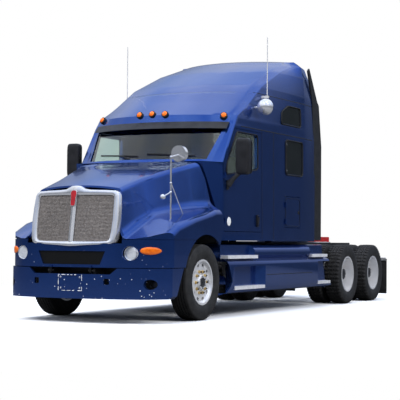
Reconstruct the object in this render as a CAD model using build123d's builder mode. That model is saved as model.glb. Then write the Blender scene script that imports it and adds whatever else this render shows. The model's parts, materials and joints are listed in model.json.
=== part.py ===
from build123d import *
from math import cos, radians, sin, tan
import os

os.makedirs("parts", exist_ok=True)

# Frame of the truck: +X to its left side, +Y to its rear, +Z up, ground at z = 0.
# Lengths in millimetres. A name that ends in share or shares holds fractions of a named size.

# Overall layout
overall_length = 9060.0
front_overhang = 1410.0
axle_y = front_overhang - overall_length / 2
first_drive_axle = 5460.0
tandem_spacing = 1320.0
body_half = 1200.0
overrun = 400.0
seam = 2.0

# Wheels and tyres, 22.5 inch rims
tyre_radius = 500.0
tyre_width = 280.0
bead_radius = 286.0
flange_radius = 300.0
flange_width = 8.0
rim_width = 238.0
rim_wall = 12.0
front_wheel_x = 1048.5
dual_outer_x = 1075.0
dual_inner_x = 735.0
hub_radius = 112.0
hand_hole_radius = 22.0
hand_hole_half_length = 31.0
hand_hole_circle = 205.0

# Steering
kingpin_x = 860.0
kingpin_radius = 20.0
kingpin_gap = 0.1
spindle_radius = 38.0
spindle_end_x = 1120.0
running_gap = 0.3
eye_radius = 45.0
eye_height = 100.0
yoke_radius = 50.0
yoke_thickness = 46.0
yoke_gap = 3.0
steering_arm = 200.0
tie_rod_radius = 17.0

# Frame rails
rail_outer_x = 432.0
rail_height = 270.0
rail_top_z = 1030.0
rail_flange = 85.0
rail_wall = 9.0
rail_front_reach = 1120.0
rail_front_y = axle_y - rail_front_reach
rail_rear_y = overall_length / 2

# Hood, from its nose to the cab
hood_nose_y = axle_y - front_overhang
hood_length = 2010.0
hood_low_z = 670.0
hood_height = 1490.0
hood_wall = 22.0
hood_crease_radius = 70.0
hood_pivot_reach = 50.0
hood_pivot_y = hood_nose_y + hood_pivot_reach
hood_pivot_z = 658.0
hood_pin_radius = 12.0
arch_centre_reach = 50.0
arch_centre_y = axle_y + arch_centre_reach
arch_centre_z = 490.0
arch_radius = 635.0
liner_radius = 680.0
liner_wall = 10.0

# Bumper
bumper_low_z = 310.0
bumper_side_z = 692.0
bumper_mid_z = 617.0
bumper_wall = 34.0

# Cab and sleeper
cab_front_reach = 270.0
cab_front_y = axle_y + cab_front_reach
cab_length = 3800.0
cab_floor_z = 1050.0
cab_height = 2820.0
cab_half = 1160.0
cab_wall = 50.0
glass_inset = 16.0
glass_thickness = 7.0
sleeper_seam_reach = 2350.0
sleeper_seam_y = axle_y + sleeper_seam_reach
roof_seam_z = 2655.0
cap_seam_z = 3200.0
door_gap = 7.0


def share_points(shares, first0, second0, first_size, second_size):
    """Points of an outline from fractions of the two sizes that it follows."""
    return [(first0 + a * first_size, second0 + b * second_size) for a, b in shares]


def side_prism(points, half_width):
    """Side outline in Y and Z, carried across the truck."""
    with BuildPart() as prism:
        with BuildSketch(Plane.YZ):
            with BuildLine():
                Polyline(points, close=True)
            make_face()
        extrude(amount=half_width, both=True)
    return prism.part


def front_prism(points, y_from, y_to):
    """Front outline in X and Z, carried from y_from back to y_to."""
    with BuildPart() as prism:
        with BuildSketch(Plane.XZ.offset(-y_to)):
            with BuildLine():
                Polyline(points, close=True)
            make_face()
        extrude(amount=y_to - y_from)
    return prism.part


def plan_prism(half_points, z_from, z_to, rear_y):
    """Symmetric plan outline: a front edge given for the left half, and a straight rear edge."""
    right = [(-x, y) for x, y in reversed(half_points[1:])]
    last_x = half_points[-1][0]
    with BuildPart() as prism:
        with BuildSketch(Plane.XY.offset(z_from)):
            with BuildLine():
                Polyline(right + half_points + [(last_x, rear_y), (-last_x, rear_y)], close=True)
            make_face()
        extrude(amount=z_to - z_from)
    return prism.part


def block(x_span, y_span, z_span):
    """Rectangular block between three pairs of places."""
    with BuildPart() as piece:
        with Locations(((x_span[0] + x_span[1]) / 2, (y_span[0] + y_span[1]) / 2, z_span[0])):
            Box(x_span[1] - x_span[0], y_span[1] - y_span[0], z_span[1] - z_span[0],
                align=(Align.CENTER, Align.CENTER, Align.MIN))
    return piece.part


def rod(start, end, radius):
    """Round bar between two points."""
    axis = Vector(*end) - Vector(*start)
    with BuildPart() as bar:
        with BuildSketch(Plane(Vector(*start), z_dir=axis.normalized())):
            Circle(radius)
        extrude(amount=axis.length)
    return bar.part


def both_sides(piece):
    """A left-hand solid and its mirror image."""
    return [piece, piece.mirror(Plane.YZ)]


def save(piece, label):
    piece.label = label
    export_step(piece, f"parts/{label}.step")


# Bumper: a moulded shell, swept back at the corners, lower in the middle
bumper_plan_shares = [(0, 0.009), (0.417, 0.021), (0.667, 0.055), (0.833, 0.11), (0.917, 0.181), (1, 0.251)]
bumper_rear_reach = 600.0
bumper_rear_y = axle_y - bumper_rear_reach
bumper_plan = share_points(bumper_plan_shares, 0, hood_nose_y, body_half, hood_length)
bumper_plan_inner = [(x - bumper_wall * x / body_half, y + bumper_wall) for x, y in bumper_plan]
bumper_dip_x = 560.0
bumper_dip_run = 90.0
bumper_rear_slant = 200.0
tow_hole_x = 514.0
tow_hole_z = 527.0
tow_hole_size = 75.0
fog_hole_x = 1020.0
fog_hole_z = 495.0
fog_hole_radius = 62.0
plate_recess_width = 330.0
plate_recess_low_z = 414.0
plate_recess_high_z = 599.0
plate_recess_depth = 12.0
bumper_front = front_prism(
    [(-body_half, bumper_low_z + bumper_wall), (-body_half + bumper_wall, bumper_low_z),
     (body_half - bumper_wall, bumper_low_z), (body_half, bumper_low_z + bumper_wall),
     (body_half, bumper_side_z), (bumper_dip_x + bumper_dip_run, bumper_side_z),
     (bumper_dip_x, bumper_mid_z), (-bumper_dip_x, bumper_mid_z),
     (-bumper_dip_x - bumper_dip_run, bumper_side_z), (-body_half, bumper_side_z)],
    hood_nose_y, bumper_rear_y)
bumper_side = side_prism(
    [(hood_nose_y, bumper_low_z), (bumper_rear_y - bumper_rear_slant, bumper_low_z),
     (bumper_rear_y - seam, bumper_side_z), (hood_nose_y, bumper_side_z)], body_half)
bumper_inner = plan_prism(bumper_plan_inner, bumper_low_z - overrun, bumper_side_z + overrun,
                          bumper_rear_y + overrun)
with BuildPart() as bumper:
    add(plan_prism(bumper_plan, bumper_low_z, bumper_side_z, bumper_rear_y))
    add(bumper_front, mode=Mode.INTERSECT)
    add(bumper_side, mode=Mode.INTERSECT)
    add(bumper_inner, mode=Mode.SUBTRACT)
    with BuildSketch(Plane.XZ.offset(-hood_nose_y)):
        with Locations((-tow_hole_x, tow_hole_z), (tow_hole_x, tow_hole_z)):
            RectangleRounded(tow_hole_size, tow_hole_size, tow_hole_size / 6)
        with Locations((-fog_hole_x, fog_hole_z), (fog_hole_x, fog_hole_z)):
            Circle(fog_hole_radius)
    extrude(amount=-2 * overrun, mode=Mode.SUBTRACT)
    with BuildSketch(Plane.XZ.offset(-hood_nose_y)):
        with Locations((0, (plate_recess_low_z + plate_recess_high_z) / 2)):
            Rectangle(plate_recess_width, plate_recess_high_z - plate_recess_low_z)
    extrude(amount=-(bumper_plan[1][1] - hood_nose_y) + plate_recess_depth, mode=Mode.SUBTRACT)
save(bumper.part, "bumper")

# Frame: two channel rails, channel cross members and the front brackets
panel_front_reach = 690.0
panel_front_y = axle_y + panel_front_reach
panel_length = 4000.0
panel_low_z = 300.0
panel_height = 700.0
panel_top_z = panel_low_z + panel_height
cross_member_shares = [0.02, 0.335, 0.46, 0.6, 0.7, 0.83, 0.985]
rail_length = rail_rear_y - rail_front_y
rail_low_z = rail_top_z - rail_height
member_depth = 200.0
member_width = 90.0
bumper_bracket_x = 330.0
bracket_wall = 16.0
bumper_face_reach = 35.5
bumper_face_y = hood_nose_y + bumper_face_reach
pin_reach = 70.0
mount_shares = [0.12, 0.5, 0.6, 0.96]
hanger_shares = [0.08, 0.34, 0.66, 0.9]
hanger_reach_x = 640.0
flap_reach = 7535.0
flap_y = axle_y + flap_reach
hanger_z = 727.0
hanger_radius = 12.0
member_mid_z = rail_top_z - rail_height / 2
with BuildPart() as rails:
    for side in (-1, 1):
        with BuildSketch(Plane.XZ.offset(-rail_rear_y)):
            with BuildLine():
                outer = side * rail_outer_x
                web = side * (rail_outer_x - rail_wall)
                lip = side * (rail_outer_x - rail_flange)
                Polyline((outer, rail_low_z), (outer, rail_top_z), (lip, rail_top_z),
                         (lip, rail_top_z - rail_wall), (web, rail_top_z - rail_wall),
                         (web, rail_low_z + rail_wall), (lip, rail_low_z + rail_wall),
                         (lip, rail_low_z), close=True)
            make_face()
        extrude(amount=rail_length)
with BuildPart() as brackets:
    for side in (-1, 1):
        with BuildSketch(Plane.YZ.offset(side * bumper_bracket_x)):
            with BuildLine():
                Polyline((rail_front_y, rail_top_z), (rail_front_y + rail_height, rail_top_z),
                         (rail_front_y + rail_height, rail_low_z), (rail_front_y,
                                                                    bumper_low_z + rail_height / 2),
                         (bumper_face_y + bumper_wall, bumper_low_z + rail_height / 2),
                         (bumper_face_y + bumper_wall, bumper_mid_z + bracket_wall),
                         (hood_pivot_y, hood_pivot_z - hood_pin_radius),
                         (hood_pivot_y, hood_pivot_z + hood_pin_radius),
                         (rail_front_y - rail_height / 3, rail_low_z), close=True)
            make_face()
        extrude(amount=bracket_wall, both=True)
        pin_from = side * bumper_bracket_x
        pin_to = side * (bumper_bracket_x - pin_reach)
        add(rod((pin_from, hood_pivot_y, hood_pivot_z), (pin_to, hood_pivot_y, hood_pivot_z),
                hood_pin_radius))
    add(bumper.part, mode=Mode.SUBTRACT)
with BuildPart() as members:
    for share in cross_member_shares:
        member_y = rail_front_y + share * rail_length
        with Locations((0, member_y, member_mid_z)):
            Box(2 * (rail_outer_x - rail_wall), rail_wall, member_depth)
        for level in (-1, 1):
            with Locations((0, member_y + member_width / 2, member_mid_z
                            + level * (member_depth - rail_wall) / 2)):
                Box(2 * (rail_outer_x - rail_wall), member_width, rail_wall)
    add(brackets.part, mode=Mode.SUBTRACT)
with BuildPart() as hangers:
    for share in mount_shares:
        mount_y = cab_front_y + share * cab_length
        add(block((rail_outer_x - rail_flange, rail_outer_x),
                  (mount_y - rail_flange / 2, mount_y + rail_flange / 2), (rail_top_z, cab_floor_z)))
    for share in hanger_shares:
        hanger_y = panel_front_y + share * panel_length
        add(block((rail_outer_x, hanger_reach_x),
                  (hanger_y - rail_flange / 2, hanger_y + rail_flange / 2), (panel_top_z,
                                                                             panel_top_z + rail_wall)))
    add(rod((rail_outer_x - rail_wall, flap_y, hanger_z), (body_half, flap_y, hanger_z), hanger_radius))
    add(block((rail_outer_x - rail_flange, rail_outer_x),
              (flap_y - 2 * hanger_radius, flap_y + 2 * hanger_radius), (hanger_z - hanger_radius,
                                                                         rail_low_z)))
frame_pieces = rails.part.solids() + brackets.part.solids() + members.part.solids()
for piece in hangers.part.solids():
    frame_pieces += both_sides(piece)
save(Compound(children=frame_pieces), "frame")

# Engine block and gearbox, plain masses at their real places
engine_half = 330.0
engine_front_reach = 700.0
engine_front_y = axle_y - engine_front_reach
engine_length = 1150.0
engine_low_z = 640.0
engine_high_z = 1560.0
gearbox_half = 240.0
gearbox_length = 850.0
gearbox_low_z = 470.0
gearbox_high_z = 980.0
with BuildPart() as powertrain:
    add(block((-engine_half, engine_half), (engine_front_y, engine_front_y + engine_length),
              (engine_low_z, engine_high_z)))
    add(block((-gearbox_half, gearbox_half),
              (engine_front_y + engine_length, engine_front_y + engine_length + gearbox_length),
              (gearbox_low_z, gearbox_high_z)))
save(powertrain.part, "powertrain")

# Radiator, standing on the rails ahead of the engine
radiator_half = 480.0
radiator_depth = 120.0
radiator_height = 560.0
radiator_reach = 250.0
radiator_y = rail_front_y + radiator_reach
with BuildPart() as radiator:
    add(block((-radiator_half, radiator_half), (radiator_y, radiator_y + radiator_depth),
              (rail_top_z, rail_top_z + radiator_height)))
save(radiator.part, "radiator")

# Drive shafts from the gearbox to the first axle and between the axles
shaft_radius = 52.0
shaft_z = tyre_radius + shaft_radius
axle_nose = 330.0
drive_axles = [axle_y + first_drive_axle, axle_y + first_drive_axle + tandem_spacing]
axle_centre_z = tyre_radius
gearbox_end_y = engine_front_y + engine_length + gearbox_length
with BuildPart() as driveshafts:
    add(rod((0, gearbox_end_y, shaft_z), (0, drive_axles[0] - axle_nose, shaft_z), shaft_radius))
    add(rod((0, drive_axles[0] + axle_nose, axle_centre_z + shaft_radius),
            (0, drive_axles[1] - axle_nose, axle_centre_z + shaft_radius), shaft_radius))
save(driveshafts.part, "driveshafts")

# Front axle: a dropped beam with an eye for each kingpin
beam_half_depth = 45.0
beam_height = 90.0
beam_drop = 70.0
beam_drop_x = 560.0
spring_x = 430.0
spring_pad_z = 540.0
neck_height = 76.0
with BuildPart() as front_axle:
    with BuildSketch(Plane.XZ.offset(-axle_y)):
        with BuildLine():
            half = [(0, axle_centre_z - beam_drop - beam_height / 2),
                    (beam_drop_x, axle_centre_z - beam_drop - beam_height / 2),
                    (kingpin_x - 2 * eye_radius, axle_centre_z - neck_height / 2),
                    (kingpin_x, axle_centre_z - neck_height / 2),
                    (kingpin_x, axle_centre_z + neck_height / 2),
                    (kingpin_x - 2 * eye_radius, axle_centre_z + neck_height / 2),
                    (beam_drop_x, axle_centre_z - beam_drop + beam_height / 2),
                    (0, axle_centre_z - beam_drop + beam_height / 2)]
            Polyline(half + [(-x, z) for x, z in reversed(half[1:-1])], close=True)
        make_face()
    extrude(amount=beam_half_depth, both=True)
    for side in (-1, 1):
        with Locations((side * kingpin_x, axle_y, axle_centre_z)):
            Cylinder(eye_radius, eye_height)
        with Locations((side * spring_x, axle_y, (axle_centre_z - beam_drop + spring_pad_z) / 2)):
            Box(beam_height, 2 * beam_half_depth + beam_height, spring_pad_z - axle_centre_z + beam_drop)
    for side in (-1, 1):
        with Locations((side * kingpin_x, axle_y, axle_centre_z)):
            Cylinder(kingpin_radius + kingpin_gap, eye_height + overrun, mode=Mode.SUBTRACT)
save(front_axle.part, "front_axle")

# Knuckles: yoke, kingpin, spindle and steering arm
web_reach = 65.0
web_x = kingpin_x + web_reach
web_thickness = 30.0
web_half_depth = 55.0
yoke_top_z = axle_centre_z + eye_height / 2 + yoke_gap
yoke_low_z = axle_centre_z - eye_height / 2 - yoke_gap - yoke_thickness
arm_thickness = 30.0
arm_half = 22.0
ball_radius = 14.0
with BuildPart() as knuckle:
    for low_z in (yoke_low_z, yoke_top_z):
        with BuildSketch(Plane.XY.offset(low_z)):
            with Locations((kingpin_x, axle_y)):
                Circle(yoke_radius)
            with Locations(((kingpin_x + web_x + web_thickness) / 2, axle_y)):
                Rectangle(web_x + web_thickness - kingpin_x, 2 * yoke_radius)
        extrude(amount=yoke_thickness)
    add(rod((kingpin_x, axle_y, yoke_low_z), (kingpin_x, axle_y, yoke_top_z + yoke_thickness),
            kingpin_radius))
    add(block((web_x, web_x + web_thickness), (axle_y - web_half_depth, axle_y + web_half_depth),
              (yoke_low_z, yoke_top_z + yoke_thickness)))
    add(rod((web_x, axle_y, axle_centre_z), (spindle_end_x, axle_y, axle_centre_z), spindle_radius))
    with BuildSketch(Plane.XY.offset(yoke_low_z)):
        with Locations((kingpin_x, axle_y + steering_arm / 2)):
            Rectangle(2 * arm_half, steering_arm)
        with Locations((kingpin_x, axle_y + steering_arm)):
            Circle(arm_half)
    extrude(amount=arm_thickness)
    add(rod((kingpin_x, axle_y + steering_arm, yoke_low_z - arm_thickness - 2 * yoke_gap),
            (kingpin_x, axle_y + steering_arm, yoke_low_z + arm_thickness), ball_radius))
save(knuckle.part, "knuckle_left")
save(knuckle.part.mirror(Plane.YZ), "knuckle_right")

# Tie rod with an eye round each ball pin
tie_rod_z = yoke_low_z - 2 * yoke_gap - arm_thickness / 2
with BuildPart() as tie_rod:
    add(rod((-kingpin_x, axle_y + steering_arm, tie_rod_z), (kingpin_x, axle_y + steering_arm, tie_rod_z),
            tie_rod_radius / 2))
    for side in (-1, 1):
        with Locations((side * kingpin_x, axle_y + steering_arm, tie_rod_z)):
            Cylinder(arm_half, arm_thickness / 2)
    for side in (-1, 1):
        with Locations((side * kingpin_x, axle_y + steering_arm, tie_rod_z)):
            Cylinder(ball_radius + kingpin_gap, arm_thickness, mode=Mode.SUBTRACT)
save(tie_rod.part, "tie_rod")

# Suspension: front leaf packs with hangers, rear arms with air bellows
leaf_half = 700.0
leaf_rise = 90.0
leaf_depth = 56.0
leaf_half_width = 45.0
hanger_half = 35.0
rear_arm_front = 450.0
rear_arm_rear = 470.0
rear_arm_depth = 56.0
axle_tube_radius = 72.0
bellows_radius = 120.0
bellows_offset = 350.0
with BuildPart() as suspension:
    for side in (-1, 1):
        with BuildSketch(Plane.YZ.offset(side * spring_x)):
            with BuildLine():
                ThreePointArc((axle_y - leaf_half, spring_pad_z + leaf_rise), (axle_y, spring_pad_z),
                              (axle_y + leaf_half, spring_pad_z + leaf_rise))
                Line((axle_y + leaf_half, spring_pad_z + leaf_rise),
                     (axle_y + leaf_half, spring_pad_z + leaf_rise + leaf_depth / 2))
                ThreePointArc((axle_y + leaf_half, spring_pad_z + leaf_rise + leaf_depth / 2),
                              (axle_y, spring_pad_z + leaf_depth),
                              (axle_y - leaf_half, spring_pad_z + leaf_rise + leaf_depth / 2))
                Line((axle_y - leaf_half, spring_pad_z + leaf_rise + leaf_depth / 2),
                     (axle_y - leaf_half, spring_pad_z + leaf_rise))
            make_face()
        extrude(amount=leaf_half_width, both=True)
        for end in (-1, 1):
            with Locations((side * spring_x, axle_y + end * (leaf_half - hanger_half),
                            (spring_pad_z + leaf_rise + rail_low_z) / 2)):
                Box(leaf_half_width, 2 * hanger_half, rail_low_z - spring_pad_z - leaf_rise)
        for place in drive_axles:
            arm_z = axle_centre_z + axle_tube_radius
            with Locations((side * spring_x, place + (rear_arm_rear - rear_arm_front) / 2,
                            arm_z + rear_arm_depth / 2)):
                Box(2 * leaf_half_width, rear_arm_front + rear_arm_rear, rear_arm_depth)
            with Locations((side * spring_x, place - rear_arm_front + hanger_half,
                            (arm_z + rail_low_z) / 2)):
                Box(leaf_half_width, 2 * hanger_half, rail_low_z - arm_z)
            with BuildSketch(Plane.XY.offset(arm_z + rear_arm_depth)):
                with Locations((side * spring_x, place + bellows_offset)):
                    Circle(bellows_radius)
            extrude(amount=rail_low_z - arm_z - rear_arm_depth)
save(suspension.part, "suspension")

# Drive axles: tube, banjo and pinion nose
banjo_radius = 215.0
banjo_half = 120.0
drive_spindle_end_x = 1085.0
with BuildPart() as rear_axles:
    for place in drive_axles:
        add(rod((-dual_inner_x + tyre_width, place, axle_centre_z),
                (dual_inner_x - tyre_width, place, axle_centre_z),
                axle_tube_radius))
        add(rod((-drive_spindle_end_x, place, axle_centre_z), (drive_spindle_end_x, place, axle_centre_z),
                spindle_radius))
        with BuildSketch(Plane.YZ.offset(-banjo_half)):
            with Locations((place, axle_centre_z)):
                Circle(banjo_radius)
        extrude(amount=2 * banjo_half)
        with BuildSketch(Plane.XZ.offset(-place)):
            with Locations((0, axle_centre_z + shaft_radius)):
                Circle(2 * shaft_radius)
        extrude(amount=axle_nose)
    nose_end = drive_axles[0] + axle_nose
    with BuildSketch(Plane.XZ.offset(-nose_end)):
        with Locations((0, axle_centre_z + shaft_radius)):
            Circle(2 * shaft_radius)
    extrude(amount=axle_nose)
save(rear_axles.part, "rear_axles")


def wheel_plane(place):
    """Plane through a wheel's axle line: local x along the axle, local y up."""
    return Plane((0, place, axle_centre_z), x_dir=(1, 0, 0), z_dir=(0, -1, 0))


def axle_line(place):
    return Axis((0, place, axle_centre_z), (1, 0, 0))


# Tyre section as fractions of half the width and of the radius: bead, sidewall, shoulder, crown
tyre_section_shares = [(0.88, 0.65), (0.97, 0.72), (1, 0.80), (0.955, 0.90), (0.90, 0.965), (0.80, 0.99),
                       (0, 1)]


def tyre(centre_x, place):
    bead_half = rim_width / 2 - flange_width
    half = [(bead_half, bead_radius), (bead_half, flange_radius)]
    half += [(a * tyre_width / 2, b * tyre_radius) for a, b in tyre_section_shares]
    outline = [(centre_x + x, r) for x, r in half] + [(centre_x - x, r) for x, r in reversed(half[:-1])]
    with BuildPart() as ring:
        with BuildSketch(wheel_plane(place)):
            with BuildLine():
                Polyline(outline, close=True)
            make_face()
        revolve(axis=axle_line(place))
    return ring.part


def rim_outline(centre_x, disc_from, disc_to):
    """Half section of a rim: barrel with flanges and a disc down to the hub."""
    half = rim_width / 2
    well = bead_radius - 2 * rim_wall
    return [(centre_x - half, flange_radius), (centre_x - half + flange_width, flange_radius),
            (centre_x - half + flange_width, bead_radius), (centre_x + half - flange_width, bead_radius),
            (centre_x + half - flange_width, flange_radius), (centre_x + half, flange_radius),
            (centre_x + half, bead_radius - rim_wall), (disc_to + rim_wall, well), (disc_to,
                                                                                    well - rim_wall),
            (disc_to, hub_radius), (disc_from, hub_radius), (disc_from, well),
            (centre_x - half, bead_radius - rim_wall)]


hub_from_reach = 10.0
hub_from_x = web_x + web_thickness + hub_from_reach
front_disc_reach = 62.0
front_disc_x = front_wheel_x + front_disc_reach
disc_thickness = 22.0
hub_cap_reach = 45.0
hub_cap_x = spindle_end_x + hub_cap_reach
drum_radius = 198.0
hand_holes = 10
with BuildPart() as rim_front:
    with BuildSketch(wheel_plane(axle_y)):
        with BuildLine():
            Polyline(rim_outline(front_wheel_x, front_disc_x, front_disc_x + disc_thickness), close=True)
        make_face()
        with BuildLine():
            Polyline((hub_from_x, spindle_radius + running_gap), (hub_from_x, drum_radius),
                     (front_disc_x, drum_radius), (front_disc_x, hub_radius + disc_thickness),
                     (front_disc_x + disc_thickness, hub_radius + disc_thickness),
                     (front_disc_x + disc_thickness, hub_radius), (hub_cap_x, hub_radius - disc_thickness),
                     (hub_cap_x, 0), (spindle_end_x + running_gap, 0),
                     (spindle_end_x + running_gap, spindle_radius + running_gap), close=True)
        make_face()
    revolve(axis=axle_line(axle_y))
    with BuildSketch(Plane.YZ.offset(front_disc_x - running_gap)):
        with Locations((axle_y, axle_centre_z)):
            with PolarLocations(hand_hole_circle + hand_hole_radius, hand_holes):
                SlotOverall(2 * hand_hole_half_length, 2 * hand_hole_radius, rotation=90)
    extrude(amount=overrun, mode=Mode.SUBTRACT)
save(rim_front.part, "rim_front_left")
save(rim_front.part.mirror(Plane.YZ), "rim_front_right")
tyre_front = tyre(front_wheel_x, axle_y)
save(tyre_front, "tyre_front_left")
save(tyre_front.mirror(Plane.YZ), "tyre_front_right")

# Twin wheels: the two discs meet between the tyres, so the outer rim is a deep dish
dual_mid_x = (dual_outer_x + dual_inner_x) / 2
rear_hub_from_x = dual_inner_x - rim_width / 2
rear_hub_end_reach = 30.0
rear_hub_end_x = drive_spindle_end_x + rear_hub_end_reach
for index, place in enumerate(drive_axles, start=1):
    with BuildPart() as twin_rim:
        with BuildSketch(wheel_plane(place)):
            with BuildLine():
                outer_rim = [(2 * dual_outer_x - x, r) for x, r in
                             rim_outline(dual_outer_x, 2 * dual_outer_x - dual_mid_x - disc_thickness,
                                         2 * dual_outer_x - dual_mid_x)]
                Polyline(outer_rim, close=True)
            make_face()
            with BuildLine():
                Polyline(rim_outline(dual_inner_x, dual_mid_x - disc_thickness, dual_mid_x), close=True)
            make_face()
            with BuildLine():
                Polyline((rear_hub_from_x, spindle_radius + running_gap), (rear_hub_from_x, drum_radius),
                         (dual_mid_x - disc_thickness, drum_radius), (dual_mid_x - disc_thickness,
                                                                      hub_radius),
                         (dual_mid_x + disc_thickness, hub_radius), (rear_hub_end_x,
                                                                     hub_radius - disc_thickness),
                         (rear_hub_end_x, 0), (drive_spindle_end_x + running_gap, 0),
                         (drive_spindle_end_x + running_gap, spindle_radius + running_gap), close=True)
            make_face()
        revolve(axis=axle_line(place))
        with BuildSketch(Plane.YZ.offset(dual_mid_x - 2 * disc_thickness)):
            with Locations((place, axle_centre_z)):
                with PolarLocations(hand_hole_circle + hand_hole_radius, hand_holes):
                    Circle(hand_hole_radius)
        extrude(amount=4 * disc_thickness, mode=Mode.SUBTRACT)
    twin_tyre = [tyre(dual_outer_x, place), tyre(dual_inner_x, place)]
    save(twin_rim.part, f"rims_rear_{index}_left")
    save(twin_rim.part.mirror(Plane.YZ), f"rims_rear_{index}_right")
    save(Compound(children=[one.mirror(Plane.YZ) for one in twin_tyre]), f"tyres_rear_{index}_right")
    save(Compound(children=twin_tyre), f"tyres_rear_{index}_left")

# Fuel tanks under the side panels
tank_radius = 300.0
tank_x = 780.0
tank_z = 670.0
tank_front_reach = 2000.0
tank_front_y = axle_y + tank_front_reach
tank_length = 1760.0
tank_strap = 40.0
with BuildPart() as fuel_tanks:
    for side in (-1, 1):
        add(rod((side * tank_x, tank_front_y, tank_z), (side * tank_x, tank_front_y + tank_length, tank_z),
                tank_radius))
        for share in (0.2, 0.8):
            strap_y = tank_front_y + share * tank_length
            inner = side * rail_outer_x
            outer = side * tank_x
            add(block((min(inner, outer), max(inner, outer)), (strap_y, strap_y + tank_strap),
                      (rail_low_z, tank_z + tank_radius)))
save(fuel_tanks.part, "fuel_tanks")

# Side panels below the doors and sleeper: a tank bulge between two stepped wells at each end
panel_wall = 25.0
panel_depth_x = 560.0
panel_section_shares = [(0.88, 0), (0.975, 0.05), (1, 0.16), (1, 0.6), (0.985, 0.66), (0.93, 0.71),
                        (0.962, 0.78),
                        (0.962, 0.88), (0.935, 0.95), (0.88, 1)]
panel_side_shares = [(0, 0), (0.04, 0.27), (0, 0.73), (0, 1), (0.955, 1), (0.965, 0.72), (1, 0.1), (1, 0)]
# Wells: front end, rear end, tread height and well height as shares of the panel, and the slope at each
# end in depths
well_table_shares = [(-0.1, 0.255, 0.715, 1.1, 0, 0.6), (0.055, 0.32, 0.1, 0.56, 0.3, 0.8),
                     (0.775, 1.1, 0.715, 1.1, 0.5, 0), (0.84, 1.1, 0.1, 0.62, 0.8, 0)]
well_depth = 120.0
tread_thickness = 46.0
tread_share = 0.004
tread_end_shares = {0.715: 0.95, 0.1: 0.985}
panel_points = share_points(panel_section_shares, 0, panel_low_z, body_half, panel_height)
panel_end_y = panel_front_y + panel_length
panel_outline = side_prism(share_points(panel_side_shares, panel_front_y, panel_low_z, panel_length,
                                        panel_height), body_half)


def well(row, inset):
    """Room of one step well, with sloping ends, grown all round by inset."""
    start_share, end_share, low_share, high_share, front_slope, rear_slope = row
    deep_x = body_half - well_depth - inset
    start_y = panel_front_y + start_share * panel_length - inset
    end_y = panel_front_y + end_share * panel_length + inset
    low_z = panel_low_z + low_share * panel_height - inset
    high_z = panel_low_z + high_share * panel_height + inset
    with BuildPart() as room:
        with BuildSketch(Plane.XY.offset(low_z)):
            with BuildLine():
                Polyline((deep_x + 2 * well_depth, start_y - front_slope * well_depth),
                         (deep_x, start_y + front_slope * well_depth),
                         (deep_x, end_y - rear_slope * well_depth), (deep_x + 2 * well_depth,
                                                                     end_y + rear_slope * well_depth),
                         close=True)
            make_face()
        extrude(amount=high_z - low_z)
    return room.part


def panel_form(inset):
    """Solid outline of one side panel, moved in by inset from its skin, its ends and its wells."""
    points = [(x - inset, z) for x, z in panel_points]
    low = (points[0][0], panel_low_z - inset)
    high = (points[-1][0], panel_low_z + panel_height - inset)
    with BuildPart() as form:
        add(front_prism([low] + points[1:-1] + [high, (panel_depth_x - inset, high[1]),
                                                (panel_depth_x - inset, low[1])],
                        panel_front_y + inset, panel_end_y - inset))
        for row in well_table_shares:
            add(well(row, inset), mode=Mode.SUBTRACT)
    return form.part


with BuildPart() as side_panel:
    add(panel_form(0))
    add(panel_form(panel_wall), mode=Mode.SUBTRACT)
    add(panel_outline, mode=Mode.INTERSECT)
side_panel_solid = side_panel.part.solids().sort_by(SortBy.VOLUME)[-1]
save(Compound(children=both_sides(side_panel_solid)), "side_panels")

def tread(row):
    """Step tread on the floor of one well."""
    start_share, end_share, low_share = row[:3]
    tread_z = panel_low_z + low_share * panel_height
    with BuildPart() as step:
        add(well(row, 0))
        add(block((body_half - well_depth, body_half),
                  (panel_front_y + (max(start_share, 0) + tread_share) * panel_length,
                   panel_front_y + (min(end_share, tread_end_shares[low_share])
                                    - tread_share) * panel_length),
                  (tread_z, tread_z + tread_thickness)), mode=Mode.INTERSECT)
    return step.part


treads = [tread(row) for row in well_table_shares]
save(Compound(children=treads + [step.mirror(Plane.YZ) for step in treads]), "step_treads")

# Hood: one body from the nose to the cab, with a crowned top, side creases and valleys above the fenders
# Stations: y, crown z, crease x and z, valley x and z, fender shoulder z, as shares of length, height and
# half width
hood_station_shares = [
    (0, 0.7, 0.5, 0.66, 0.555, 0.262, 0.211),
    (0.065, 0.7, 0.5, 0.66, 0.555, 0.262, 0.228),
    (0.22, 0.76, 0.522, 0.722, 0.6, 0.385, 0.3),
    (0.353, 0.809, 0.542, 0.775, 0.645, 0.468, 0.379),
    (0.577, 0.892, 0.629, 0.859, 0.7, 0.51, 0.455),
    (0.776, 0.95, 0.725, 0.925, 0.79, 0.55, 0.5),
    (0.87, 0.985, 0.833, 0.966, 0.875, 0.575, 0.512),
    (1, 1.003, 0.842, 0.97, 0.885, 0.577, 0.517)]
hood_plan_shares = [(0, 0.012), (0.417, 0.025), (0.667, 0.067), (0.833, 0.13), (0.917, 0.2), (1.05, 0.314)]
hood_side_shares = [(0, 0.02), (0.423, 0.02), (0.92, 0.195), (0.993, 0.393), (0.914, 0.626), (0.798, 1.104),
                    (0, 1.104)]
fender_radius = 110.0
valley_radius = 150.0


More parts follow.
